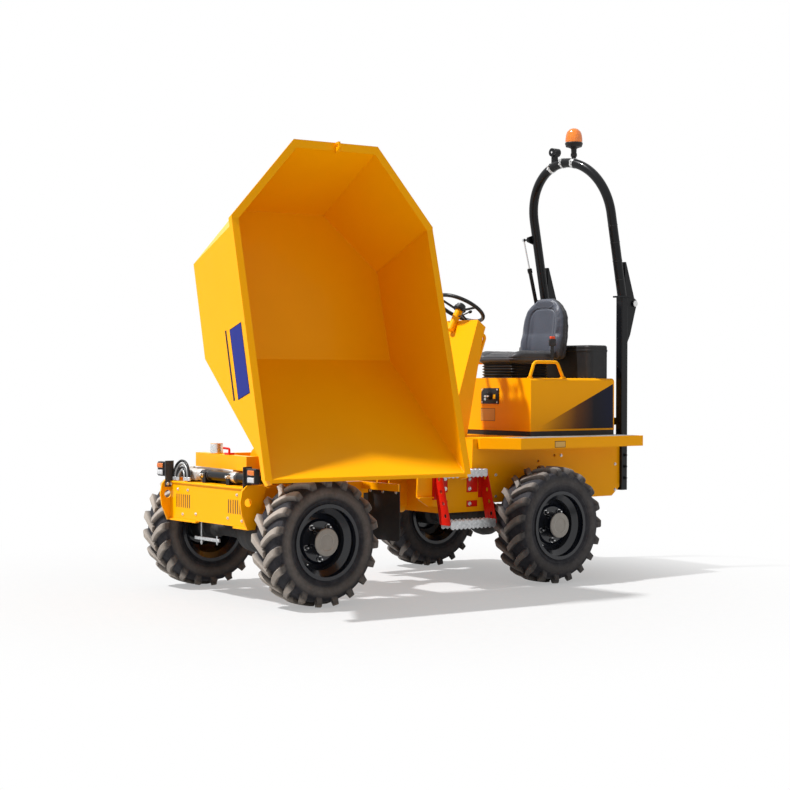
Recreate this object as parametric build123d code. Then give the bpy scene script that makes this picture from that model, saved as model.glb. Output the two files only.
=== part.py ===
from build123d import *
import os
from math import atan2, cos, degrees, hypot, radians, sin, tan

# Site dumper: an articulated four-wheel machine with a skip that swivels and tips.
# Millimetres. +X forward, +Y to the driver's left, +Z up. The origin is on the ground,
# on the centreline, straight below the vertical articulation pin.

# ---------------------------------------------------------------- driving dimensions
REAR_AXLE_X = -1060.0      # axle lines, measured from the articulation pin
FRONT_AXLE_X = 797.0
TRACK = 1252.0             # between the middles of the left and right tyres
TYRE_D = 760.0
TYRE_W = 264.0
RIM_FLANGE_D = 427.0
RIM_W = 246.0
HUB_CAP_D = 162.0
RIM_LIP_H = 6.0            # flange line above the bead seat
RIM_LIP_T = 6.0

# steering knuckle
KNUCKLE_Z = 520.0          # roll axis height
PIN_R = 25.0               # articulation pin
TRUNNION_R = 45.0          # roll shaft
PIN_CLEARANCE = 0.05       # radial play of pins and shafts
SLEEVE_R = 60.0
SLEEVE_H = 150.0

# front frame
FRONT_PLATE_X = 1140.0
FRAME_TOP_Z = 690.0
FRAME_BOTTOM_Z = 458.0
FRAME_HALF_W = 450.0       # front plate, inside the cheek plates
RAIL_HALF_W = 302.0
FRAME_REAR_X = 205.0
CHEEK_T = 12.0
PLATE_T = 10.0
LASHING_HOLE_R = 24.0

# slewing gear and turntable
SLEW_X = 649.0             # slew axis
SLEW_RING_R = 265.0
SLEW_BORE_R = 205.0
SLEW_RING_H = 45.0
TURNTABLE_Z = 742.0        # underside of the turntable disc
TURNTABLE_T = 34.0
SLEW_REST = 84.0           # skip points this far to the left at rest
BEAM_HALF_W = 362.0
BEAM_H = 86.0

# skip, given lowered and pointing forward, from the slew axis
SKIP_WALL = 5.0
SKIP_FLOOR_Z = 930.0
SKIP_FOLD_U = 125.0        # floor meets the front panel
SKIP_LIP_U = 992.0
SKIP_RIM_Z = 1548.0
SKIP_REAR_Z = 1668.0
SKIP_HALF_W = 634.0
SKIP_SHOULDER_U = -457.0   # floor corner where side wall meets corner wall
SKIP_RIM_SHOULDER_U = -515.0
SKIP_REAR_U = -820.0       # floor edge at the rear wall
SKIP_RIM_REAR_U = -925.0
SKIP_REAR_HALF_W = 298.0   # floor edge at the rear wall
SKIP_RIM_REAR_HALF_W = 265.0
RIM_FLANGE = 38.0
TIP_REST = 74.1            # tip angle at rest
TIP_PIN_U = 550.0
TIP_PIN_Z = 1065.0
TIP_PIN_R = 20.0

# rear frame, deck and engine cover
SIDE_PLATE_Y = 405.0       # outer faces of the side plates
DECK_Z = 945.0
DECK_HALF_W = 660.0
DECK_REAR_X = -1920.0
DECK_FRONT_X = -640.0
DECK_EDGE_H = 70.0
FRAME_END_X = -1955.0      # rear end of the rear frame
COVER_FRONT_X = -1115.0
COVER_REAR_X = -1908.0
COVER_HALF_W = 400.0
COVER_BOTTOM_Z = 978.0
COVER_TOP_Z = 1335.0
COVER_WALL = 4.0

# roll-over hoop
POST_X = -1990.0
POST_Y = 390.0
POST_SIZE = 60.0
POST_BOTTOM_Z = 556.0
POST_TOP_Z = 1900.0
HOOP_TUBE_R = 33.0
HOOP_TOP_Z = 2866.0        # centre line of the tube at the top
HOOP_LEAN = 11.0           # forward lean of the upper hoop, degrees
HOOP_PIN_X = -2080.0
HOOP_PIN_Z = 1860.0
HOOP_PIN_R = 12.0

# seat and controls
SEAT_X = -1345.0           # middle of the cushion
CUSHION_L = 430.0
CUSHION_W = 470.0
CUSHION_TOP_Z = 1522.0
WHEEL_X = -835.0           # steering wheel centre
WHEEL_Z = 1805.0
WHEEL_D = 360.0
WHEEL_LEAN = 30.0

# cylinders: eye positions and sections
STEER_BASE = (-104.0, -144.0)    # on the knuckle, X and Y
STEER_EYE = (276.0, -160.0)      # in the front frame, X and Y
STEER_PIN_R = 12.0
STEER_GAP = 62.0                 # between the clevis plates
ROD_EYE_GAP = 50.0               # between the bosses at the rod's eye
TIP_BASE = (-10.0, 560.0)        # on the turntable, u and Z
TIP_EYE = (390.0, 1040.0)        # on the lowered skip, u and Z
RAM_PIN_R = 16.0
STRUT_BASE = (-2008.0, 1740.0)   # on the right post, X and Z
STRUT_EYE = (-1840.0, 2350.0)    # on the hoop, X and Z
STRUT_Y = -460.0
STRUT_PIN_R = 7.0
STRUT_EYE_HALF = 8.0             # half thickness of the gas strut's eyes

AXLE_Z = TYRE_D / 2
WHEEL_Y = TRACK / 2
RUNNING_GAP = 0.3          # between faces that turn or slide on each other
ARM_Y = 234.0              # inner faces of the turntable's hinge arms
TIP_LUG_Y = 58.0           # inner faces of the lugs at the tipping cylinder's base
RAM_EYE_HALF = 25.0        # half thickness of the tipping cylinder's rod eye
ENGINE_FRONT_X = -1160.0
ENGINE_REAR_X = -1810.0
ENGINE_Z0 = 550.0
ENGINE_Z1 = 1200.0
LIFTING_HOLE_R = 12.0
TOW_PIN_R = 13.0


# ---------------------------------------------------------------- helpers
def block(x0, x1, y0, y1, z0, z1):
    """A box between two corners."""
    return Pos((x0 + x1) / 2, (y0 + y1) / 2, (z0 + z1) / 2) * Box(abs(x1 - x0), abs(y1 - y0), abs(z1 - z0))


def bar(start, end, radius):
    """A round bar between two points."""
    axis = Vector(*end) - Vector(*start)
    return Solid.make_cylinder(radius, axis.length, Plane(origin=start, z_dir=axis))


def plate_xz(points, y0, y1):
    """A flat plate whose outline lies in XZ, from y0 to y1."""
    face = make_face(Polyline(*[(x, z) for x, z in points], close=True))
    sheet = extrude(Plane.XZ * face, -(y1 - y0))
    return Pos(0, y0, 0) * sheet


def plate_xy(points, z0, z1):
    """A flat plate whose outline lies in XY, from z0 to z1."""
    face = make_face(Polyline(*points, close=True))
    return Pos(0, 0, z0) * extrude(face, z1 - z0)


def plate_yz(points, x0, x1):
    """A flat plate whose outline lies in YZ, from x0 to x1."""
    face = make_face(Polyline(*points, close=True))
    return Pos(x0, 0, 0) * extrude(Plane.YZ * face, x1 - x0)


def bent_tube(points, bend, radius):
    """A round tube, filled in, along straight runs joined by bends."""
    path = FilletPolyline(*points, radius=bend)
    start = Plane(origin=path @ 0, z_dir=path % 0)
    return sweep(start * Circle(radius), path=path)


def both_sides(shape):
    """The shape and its mirror image across the centreline."""
    return shape + mirror(shape, about=Plane.XZ)


def wheel_axis(x, y, z):
    """A plane whose normal runs along +Y, for pieces turned about a wheel's axis."""
    return Plane(origin=(x, y, z), x_dir=(1, 0, 0), z_dir=(0, 1, 0))


def turned(profile):
    """A solid of revolution from (radius, along) points, about Z."""
    face = make_face(Polyline(*[(r, 0, a) for r, a in profile], close=True))
    return revolve(face, axis=Axis.Z)


def disc(x, y, z0, z1, radius):
    """An upright round plate or boss."""
    return bar((x, y, z0), (x, y, z1), radius)


def cross_pin(x, z, y0, y1, radius):
    """A round pin or boss along Y."""
    return bar((x, y0, z), (x, y1, z), radius)


def eye_plate(points, centre, radius, y0, y1):
    """A plate in XZ with a rounded end about a pin."""
    return plate_xz(points, y0, y1) + cross_pin(*centre, y0, y1, radius)


def cylinder_barrel(length, radius, bore, rod, eye_r, eye_half, pin_r, gland=26):
    """A hydraulic barrel along +X from its own eye, which turns about Y."""
    body = bar((0, 0, 0), (eye_r + 10, 0, 0), min(radius - 3, eye_half * 0.9))
    body += bar((eye_r + 8, 0, 0), (length, 0, 0), radius)
    body += bar((length - gland - 8, 0, 0), (length - 4, 0, 0), radius + 4)
    body -= bar((eye_r + 14, 0, 0), (length - gland, 0, 0), bore)
    body -= bar((eye_r + 14, 0, 0), (length + 1, 0, 0), rod + RUNNING_GAP)
    body += cross_pin(0, 0, -eye_half, eye_half, eye_r)
    return body - cross_pin(0, 0, -eye_half - 1, eye_half + 1, pin_r + PIN_CLEARANCE)


def cylinder_rod(length, stroke_length, radius, piston, eye_r, eye_half, head=18):
    """A piston rod along +X whose eye is stroke_length from the barrel's eye. The eye holds its pin,
    and ends short of the plates beside it, because it drifts from their line as the linkage moves."""
    start = stroke_length - length
    body = bar((start, 0, 0), (stroke_length - eye_r * 0.6, 0, 0), radius)
    body += bar((start, 0, 0), (start + head, 0, 0), piston - RUNNING_GAP)
    return body + cross_pin(stroke_length, 0, -eye_half, eye_half, eye_r)


# ---------------------------------------------------------------- wheels
def tyre():
    """Tyre about Z, outer diameter and width over the tread bars, open inside the beads."""
    half = TYRE_W / 2
    bead = RIM_FLANGE_D / 2 - RIM_LIP_H + RUNNING_GAP
    bead_half = RIM_W / 2 - RIM_LIP_T - RUNNING_GAP
    outer = TYRE_D / 2
    section = [
        (bead, bead_half), (bead + RIM_LIP_H + 12, bead_half), (bead + 40, half - 9), (bead + 72, half),
        (outer - 48, half - 2), (outer - 14, half - 16), (outer, half - 48)]
    lining = [
        (bead, bead_half - 18), (bead + 36, half - 34), (outer - 60, half - 34), (outer - 42, half - 60)]
    mirrored = [(r, -a) for r, a in reversed(section)] + [(r, -a) for r, a in lining]
    return turned(section + mirrored + list(reversed(lining)))


def rim():
    """Dished one-piece rim about Z, its outer face towards +Z, with the wheel centre welded in."""
    flange = RIM_FLANGE_D / 2 + 8
    seat = RIM_FLANGE_D / 2 - RIM_LIP_H
    lip = RIM_LIP_T
    half = RIM_W / 2
    drop = seat - 34
    t = 7.0
    shell = turned([
        (flange, half - lip), (flange, half), (seat - t, half), (seat - t, half - 46), (drop - t, half - 72),
        (drop - t, 30 - half), (seat - t, 8 - half), (seat - t, -half), (flange, -half), (flange, lip - half),
        (seat, lip - half), (seat, 12 + lip - half), (drop, 36 + lip - half), (drop, half - 76),
        (seat, half - 50), (seat, half - lip)])
    disc = turned([
        (drop - t + 1, 2), (drop - t + 1, 14), (132, 26), (118, 40), (HUB_CAP_D / 2 + 0.3, 40),
        (HUB_CAP_D / 2 + 0.3, 30), (112, 30), (126, 14)])
    neck = turned([(drop - t, 0), (drop - t + 2, 0), (drop - t + 2, 16), (drop - t, 16)])
    wheel = shell + disc + neck
    for turn in range(5):
        wheel += Rot(0, 0, 72 * turn + 18) * Pos(102, 0, 40) * extrude(RegularPolygon(13, 6), 18)
    return wheel


def hub():
    """Hub cap about Z: the drum that stands out through the wheel centre."""
    r = HUB_CAP_D / 2
    face = RIM_W / 2 - 8
    return turned([(0, 8), (r, 8), (r, face - 8), (r - 8, face), (r - 30, face), (r - 34, face - 4), (0, face - 4)])


# ---------------------------------------------------------------- front chassis
def front_frame():
    """Box frame: front plate with vents, cheek plates with lashing holes, rails and a two-plate tail."""
    front = FRONT_PLATE_X
    top = FRAME_TOP_Z
    low = FRAME_BOTTOM_Z
    body = block(front - 12, front, -FRAME_HALF_W, FRAME_HALF_W, low, top)
    vent = Pos(front - 6, 0, 572) * (Box(20, 11, 74) + Pos(0, 0, 37) * Rot(0, 90, 0) * Cylinder(5.5, 20)
                                     + Pos(0, 0, -37) * Rot(0, 90, 0) * Cylinder(5.5, 20))
    for side in (-1, 1):
        for slot in range(7):
            body -= Pos(0, side * (222 + 25 * slot), 0) * vent
    body += block(front - 12, front + 14, -FRAME_HALF_W, -130, low - 10, low)
    body += block(front - 12, front + 14, 290, FRAME_HALF_W, low - 10, low)
    body += block(front - 140, front, -FRAME_HALF_W, FRAME_HALF_W, top - PLATE_T, top)
    # cheek plates, rounded at the nose
    nose = [(front - 115, top + 17), (front + 24, top + 17), (front + 58, top - 14), (front + 70, top - 78),
            (front + 60, top - 150), (front + 20, low - 10), (front - 30, low - 10)]
    cheek = plate_xz(nose, FRAME_HALF_W, FRAME_HALF_W + CHEEK_T)
    cheek -= cross_pin(front + 18, 608, FRAME_HALF_W - 1, FRAME_HALF_W + CHEEK_T + 1, LASHING_HOLE_R)
    body += both_sides(cheek)
    # rails, top plate and closing plates
    rail = block(FRAME_REAR_X, front - 12, RAIL_HALF_W - PLATE_T, RAIL_HALF_W, 500, top)
    body += both_sides(rail)
    deck = block(FRAME_REAR_X, front - 12, -RAIL_HALF_W, RAIL_HALF_W, top - PLATE_T, top)
    body += deck - disc(SLEW_X, 0, top - 30, top + 10, SLEW_BORE_R)
    window = block(FRAME_REAR_X - 1, FRAME_REAR_X + 13, STEER_EYE[1] - 68, STEER_EYE[1] + 68,
                   KNUCKLE_Z - 48, KNUCKLE_Z + 48)
    body += block(FRAME_REAR_X, FRAME_REAR_X + 12, -RAIL_HALF_W, RAIL_HALF_W, 420, top) - window
    brace_x = SLEW_X - SLEW_BORE_R - 40
    body += block(brace_x, brace_x + PLATE_T, -RAIL_HALF_W, RAIL_HALF_W, 512, top)
    # axle saddles
    saddle = block(FRONT_AXLE_X - 60, FRONT_AXLE_X + 60, 210, RAIL_HALF_W, AXLE_Z + 62, 502)
    body += both_sides(saddle)
    # mud flap carriers behind the wheels
    carrier = block(FRAME_REAR_X, FRAME_REAR_X + 12, RAIL_HALF_W, 664, top - 45, top)
    body += both_sides(carrier)
    # tail plates above and below the knuckle, with the articulation pin and the steering pin
    half = SLEEVE_H / 2 + 4
    outline = [(STEER_EYE[0] + 50, 200), (FRAME_REAR_X, 200), (60, 78), (-30, 70), (-62, 34), (-62, -34),
               (-30, -70), (60, -78), (FRAME_REAR_X, -200), (STEER_EYE[0] + 50, -200)]
    for z in (KNUCKLE_Z + half, KNUCKLE_Z - half - 25):
        body += plate_xy(outline, z, z + 25)
    body += disc(0, 0, KNUCKLE_Z - half - 34, KNUCKLE_Z + half + 34, PIN_R)
    body += disc(0, 0, KNUCKLE_Z + half + 25, KNUCKLE_Z + half + 38, PIN_R + 18)
    body += disc(*STEER_EYE, KNUCKLE_Z + ROD_EYE_GAP / 2, KNUCKLE_Z + half + 10, STEER_PIN_R)
    body += disc(*STEER_EYE, KNUCKLE_Z - half - 10, KNUCKLE_Z - ROD_EYE_GAP / 2, STEER_PIN_R)
    body += disc(*STEER_EYE, KNUCKLE_Z + ROD_EYE_GAP / 2, KNUCKLE_Z + half + 2, STEER_PIN_R + 12)
    body += disc(*STEER_EYE, KNUCKLE_Z - half - 2, KNUCKLE_Z - ROD_EYE_GAP / 2, STEER_PIN_R + 12)
    return body


def axle(x, pad_y):
    """Axle casing: a swollen middle, tubes, pads for the frame and a flange at each wheel."""
    end = WHEEL_Y + 8 - RUNNING_GAP
    half = [(0, 0), (118, 0), (112, 45), (84, 105), (54, 165), (46, 240), (46, 420), (62, 440), (62, 520),
            (84, 545), (84, end), (0, end)]
    casing = Rot(-90, 0, 0) * turned(half)
    pad = block(-55, 55, pad_y - 40, pad_y + 40, 20, 62 - RUNNING_GAP)
    casing = both_sides(casing + pad)
    casing += bar((0, 0, 0), (-205, 0, 8), 58)
    casing += bar((-205, 0, 8), (-228, 0, 9), 66)
    return Pos(x, 0, AXLE_Z) * casing


def slew_ring():
    """Ball slewing ring on the front frame."""
    z0 = FRAME_TOP_Z
    ring = disc(SLEW_X, 0, z0, z0 + SLEW_RING_H, SLEW_RING_R - 14)
    ring += disc(SLEW_X, 0, z0, z0 + 22, SLEW_RING_R)
    return ring - disc(SLEW_X, 0, z0 - 1, z0 + SLEW_RING_H + 1, SLEW_BORE_R)


def slew_cylinder():
    """Closed slewing cylinder across the front of the frame, with its rack box and saddles."""
    x = FRONT_PLATE_X - 85
    z = FRAME_TOP_Z + 45
    body = bar((x, -418, z), (x, 300, z), 30)
    for y, r in ((-430, 26), (-352, 36), (212, 36), (300, 24)):
        body += bar((x, y, z), (x, y + 24, z), r if r < 30 else 29.5)
    for y in (-330, -150, 120):
        body += block(x - 38, x + 38, y, y + 34, FRAME_TOP_Z, z + 20)
    body += block(SLEW_X + SLEW_RING_R + 10, x - 20, -130, 130, FRAME_TOP_Z, FRAME_TOP_Z + 44)
    return body


def front_lamps():
    """Two lamp clusters, each on a bracket outside a cheek plate: indicator above headlamp."""
    y0 = FRAME_HALF_W + CHEEK_T
    x = FRONT_PLATE_X + 8
    left = block(x, x + 6, y0, y0 + 120, 690, 806)
    left += block(x - 40, x + 6, y0, y0 + 6, 690, 806)
    left += fillet((Pos(x + 28, y0 + 62, 724) * Box(44, 96, 62)).edges().filter_by(Axis.X), 14)
    left += fillet((Pos(x + 24, y0 + 62, 783) * Box(36, 96, 40)).edges().filter_by(Axis.X), 12)
    return both_sides(left)


def mud_flaps():
    """Rubber flaps hung on the carriers behind the front wheels."""
    x1 = FRAME_REAR_X - RUNNING_GAP
    flap = block(x1 - 8, x1, 345, 662, 340, FRAME_TOP_Z)
    return both_sides(fillet(flap.edges().filter_by(Axis.X), 12))


# ---------------------------------------------------------------- slewing and tipping
def slewed(shape):
    """Place a piece given from the slew axis, with u along +X, at the resting heading."""
    return Pos(SLEW_X, 0, 0) * Rot(0, 0, SLEW_REST) * shape


def tipped(shape):
    """Tip a lowered piece of the skip about its hinge pins, then slew it."""
    pin = Pos(TIP_PIN_U, 0, TIP_PIN_Z)
    return slewed(pin * Rot(0, TIP_REST, 0) * pin.inverse() * shape)


def turntable():
    """Turntable: disc, two side beams, cross members, hinge arms, rest pads and cylinder lugs."""
    z0 = TURNTABLE_Z
    z1 = z0 + TURNTABLE_T
    z2 = z1 + BEAM_H
    slot = TIP_LUG_Y
    body = disc(0, 0, z0, z1, SLEW_RING_R + 5)
    body += disc(0, 0, FRAME_TOP_Z + SLEW_RING_H + RUNNING_GAP, z0, SLEW_RING_R - 25)
    body -= disc(0, 0, z0 - 20, z0, SLEW_BORE_R + 5)
    beam = block(-400, 300, BEAM_HALF_W - 62, BEAM_HALF_W, z1, z2)
    beam -= block(-393, 293, BEAM_HALF_W - 56, BEAM_HALF_W - 6, z1 - 1, z2 - 6)
    for u in (-250, 215):
        beam += block(u, u + 60, 0, BEAM_HALF_W - 30, z1, z2)
    # hinge arm, rounded about the pin
    arm = [(60, z1), (290, z1), (TIP_PIN_U + 34, TIP_PIN_Z - 20), (TIP_PIN_U - 34, TIP_PIN_Z + 20), (150, z2 + 30)]
    beam += eye_plate(arm, (TIP_PIN_U, TIP_PIN_Z), 40, ARM_Y, ARM_Y + 16)
    beam += cross_pin(TIP_PIN_U, TIP_PIN_Z, ARM_Y - 30, ARM_Y + 28, TIP_PIN_R)
    # rest pad post on the beam
    beam += disc(-183, BEAM_HALF_W - 40, z2 - 7, SKIP_FLOOR_Z - 5, 38)
    # lug for the tipping cylinder's base
    lug = [(-75, z1 - 4), (110, z1 - 4), (TIP_BASE[0] + 30, TIP_BASE[1] - 6), (TIP_BASE[0] - 30, TIP_BASE[1] - 6)]
    beam += eye_plate(lug, TIP_BASE, 34, slot, slot + 14)
    body += both_sides(beam)
    body -= block(-60, 236, -slot, slot, z0 - 20, z1 + 1)
    body -= block(100, 320, -slot - 18, slot + 18, z1, z2 + 1)
    body += cross_pin(*TIP_BASE, -slot - 24, slot + 24, RAM_PIN_R)
    return slewed(body)


def swivel_lock():
    """Hand lever of the slew lock, on the beam that faces forward at rest."""
    z = TURNTABLE_Z + TURNTABLE_T + BEAM_H
    lever = block(-20, 40, -BEAM_HALF_W + 12, -BEAM_HALF_W + 50, z, z + 12)
    lever += bent_tube([(10, -BEAM_HALF_W + 31, z + 10), (10, -BEAM_HALF_W + 31, z + 36),
                        (-28, -BEAM_HALF_W + 10, z + 40)], 8, 7)
    return slewed(lever)


def skip_form(out, drop=0.0, under=0.0):
    """The skip's convex form: out moves the upright walls outward, drop lowers the top,
    under moves the floor and the front panel outward."""
    low = Vector(SKIP_FOLD_U, 0, SKIP_FLOOR_Z)
    lip = Vector(SKIP_LIP_U, 0, SKIP_RIM_Z)
    shoulder = Vector(SKIP_SHOULDER_U, SKIP_HALF_W, SKIP_FLOOR_Z)
    corner = Vector(SKIP_REAR_U, SKIP_REAR_HALF_W, SKIP_FLOOR_Z)
    rim_shoulder = Vector(SKIP_RIM_SHOULDER_U, SKIP_HALF_W, SKIP_RIM_Z)
    panel_slope = atan2(lip.Z - low.Z, lip.X - low.X)
    rear_slope = atan2(SKIP_REAR_U - SKIP_RIM_REAR_U, SKIP_REAR_Z - SKIP_FLOOR_Z)
    corner_in = (corner - shoulder).cross(rim_shoulder - shoulder).normalized()
    if corner_in.X < 0:
        corner_in = corner_in * -1
    # a point on each wall, the direction into the skip, and how far the wall moves out
    walls = [
        (low, Vector(-sin(panel_slope), 0, cos(panel_slope)), under),
        (low, Vector(0, 0, 1), under),
        (corner, Vector(cos(rear_slope), 0, sin(rear_slope)), out),
        (shoulder, Vector(0, -1, 0), out),
        (shoulder, corner_in, out)]
    rise = (SKIP_REAR_Z - SKIP_RIM_Z) / (SKIP_RIM_SHOULDER_U - SKIP_RIM_REAR_U)
    far = 1300
    outline = [(-far, 0), (far, 0), (far, SKIP_RIM_Z - drop), (SKIP_RIM_SHOULDER_U, SKIP_RIM_Z - drop),
               (-far, SKIP_RIM_Z - drop + rise * (far + SKIP_RIM_SHOULDER_U))]
    form = plate_xz(outline, -far, far)
    for point, inward, shift in walls:
        for side in (1, -1):
            normal = Vector(inward.X, inward.Y * side, inward.Z)
            origin = Vector(point.X, point.Y * side, point.Z) - normal * shift
            form = split(form, Plane(origin=origin, z_dir=normal), keep=Keep.TOP)
    return form


def panel_z(u):
    """Height of the front panel's outer face on the lowered skip."""
    return SKIP_FLOOR_Z + (u - SKIP_FOLD_U) * (SKIP_RIM_Z - SKIP_FLOOR_Z) / (SKIP_LIP_U - SKIP_FOLD_U)


def skip():
    """Open skip of folded plate with a channel rim, lip bar, cheeks, hinge lugs and cylinder lugs."""
    shell = skip_form(0) - skip_form(-SKIP_WALL, -1, -SKIP_WALL)
    t = SKIP_WALL + 1
    rim_band = skip_form(RIM_FLANGE) - skip_form(0, -1) - skip_form(RIM_FLANGE + 1, t)
    skirt = skip_form(RIM_FLANGE) - skip_form(RIM_FLANGE - t, -1) - skip_form(RIM_FLANGE + 1, 40)
    shell += rim_band + skirt
    # bar under the lip, over the whole width
    lip = [(SKIP_LIP_U - 70, panel_z(SKIP_LIP_U - 70)), (SKIP_LIP_U, SKIP_RIM_Z), (SKIP_LIP_U + 14, SKIP_RIM_Z - 2),
           (SKIP_LIP_U + 8, SKIP_RIM_Z - 16), (SKIP_LIP_U - 60, panel_z(SKIP_LIP_U - 70) - 8)]
    shell += plate_xz(lip, -SKIP_HALF_W, SKIP_HALF_W)
    # rounded cheek at each end of the lip
    cheek = [(SKIP_LIP_U - 110, SKIP_RIM_Z), (SKIP_LIP_U - 132, SKIP_RIM_Z - 42), (SKIP_LIP_U - 92, SKIP_RIM_Z - 84),
             (SKIP_LIP_U - 30, SKIP_RIM_Z - 92), (SKIP_LIP_U + 16, SKIP_RIM_Z - 60), (SKIP_LIP_U + 20, SKIP_RIM_Z)]
    shell += both_sides(plate_xz(cheek, SKIP_HALF_W, SKIP_HALF_W + 12))
    # hinge lugs, each standing on a rib under the floor
    lug_y = ARM_Y - 1
    rib = [(-640, SKIP_FLOOR_Z), (-620, SKIP_FLOOR_Z - 42), (SKIP_FOLD_U + 30, SKIP_FLOOR_Z - 42),
           (TIP_PIN_U - 30, TIP_PIN_Z - 22), (TIP_PIN_U + 36, TIP_PIN_Z - 6), (740, panel_z(740)),
           (SKIP_FOLD_U, SKIP_FLOOR_Z)]
    lug = eye_plate(rib, (TIP_PIN_U, TIP_PIN_Z), 38, lug_y - 16, lug_y)
    lug -= cross_pin(TIP_PIN_U, TIP_PIN_Z, lug_y - 17, lug_y + 1, TIP_PIN_R + PIN_CLEARANCE)
    # lugs for the tipping cylinder's rod eye
    eye = [(TIP_EYE[0] - 70, panel_z(TIP_EYE[0] - 70)), (TIP_EYE[0] - 26, TIP_EYE[1] - 8),
           (TIP_EYE[0] + 26, TIP_EYE[1] - 8), (TIP_EYE[0] + 110, panel_z(TIP_EYE[0] + 110))]
    lug += eye_plate(eye, TIP_EYE, 30, RAM_EYE_HALF + 4, RAM_EYE_HALF + 16)
    shell += both_sides(lug)
    shell += both_sides(cross_pin(*TIP_EYE, RAM_EYE_HALF + RUNNING_GAP, RAM_EYE_HALF + 22, RAM_PIN_R))
    # lifting eye on the rear rim
    u = SKIP_RIM_REAR_U - RIM_FLANGE / 2
    eye = plate_xz([(u - 26, SKIP_REAR_Z - 8), (u + 40, SKIP_REAR_Z - 8), (u + 18, SKIP_REAR_Z + 44),
                    (u - 16, SKIP_REAR_Z + 44)], -7, 7)
    shell += eye - cross_pin(u + 2, SKIP_REAR_Z + 24, -8, 8, LIFTING_HOLE_R)
    return tipped(shell)


def ram_placed(shape, base, direction):
    """Place a cylinder piece given along +X from its eye, in the skip's upright plane."""
    return slewed(Pos(base[0], 0, base[1]) * Rot(0, -degrees(direction), 0) * shape)


def tip_eye_at_rest():
    """The rod eye's centre (u, z) with the skip tipped to its resting angle."""
    angle = radians(TIP_REST)
    du = TIP_EYE[0] - TIP_PIN_U
    dz = TIP_EYE[1] - TIP_PIN_Z
    return (TIP_PIN_U + du * cos(angle) + dz * sin(angle), TIP_PIN_Z - du * sin(angle) + dz * cos(angle))


def tip_ram():
    """Tipping cylinder: barrel and rod."""
    eye = tip_eye_at_rest()
    span = (eye[0] - TIP_BASE[0], eye[1] - TIP_BASE[1])
    length = hypot(*span)
    direction = atan2(span[1], span[0])
    barrel = cylinder_barrel(500, 45, 38, 22, 32, TIP_LUG_Y - RUNNING_GAP, RAM_PIN_R)
    rod = cylinder_rod(530, length, 22, 38, 28, RAM_EYE_HALF)
    return ram_placed(barrel, TIP_BASE, direction), ram_placed(rod, TIP_BASE, direction)


# ---------------------------------------------------------------- steering knuckle
def pivot_knuckle():
    """Knuckle: a sleeve on the articulation pin, a roll shaft to the rear and a clevis for the ram."""
    z = KNUCKLE_Z
    half = SLEEVE_H / 2
    body = disc(0, 0, z - half, z + half, SLEEVE_R)
    body += bar((0, 0, z), (-352, 0, z), TRUNNION_R)
    body += bar((0, 0, z), (-166, 0, z), TRUNNION_R + 16)
    body += bar((-357, 0, z), (-345 - RUNNING_GAP, 0, z), TRUNNION_R + 17)
    arm = [(-20, -30), (-140, -30), (STEER_BASE[0] - 26, STEER_BASE[1] - 6), (STEER_BASE[0] + 26, STEER_BASE[1] - 6),
           (-20, -52)]
    for z0 in (z - STEER_GAP / 2 - 15, z + STEER_GAP / 2):
        body += plate_xy(arm, z0, z0 + 15) + disc(*STEER_BASE, z0, z0 + 15, 28)
    body += disc(*STEER_BASE, z - STEER_GAP / 2 - 22, z + STEER_GAP / 2 + 22, STEER_PIN_R)
    return body - disc(0, 0, z - half - 1, z + half + 1, PIN_R + PIN_CLEARANCE)


def steering_ram():
    """Steering cylinder between the knuckle and the front frame: barrel and rod."""
    span = (STEER_EYE[0] - STEER_BASE[0], STEER_EYE[1] - STEER_BASE[1])
    heading = degrees(atan2(span[1], span[0]))
    barrel = cylinder_barrel(252, 26, 20, 12, 24, STEER_GAP / 2 - 1, STEER_PIN_R, gland=16)
    rod = cylinder_rod(250, hypot(*span), 12, 20, 22, ROD_EYE_GAP / 2 - RUNNING_GAP, head=14)
    place = Pos(STEER_BASE[0], STEER_BASE[1], KNUCKLE_Z) * Rot(0, 0, heading) * Rot(90, 0, 0)
    return place * barrel, place * rod


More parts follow.
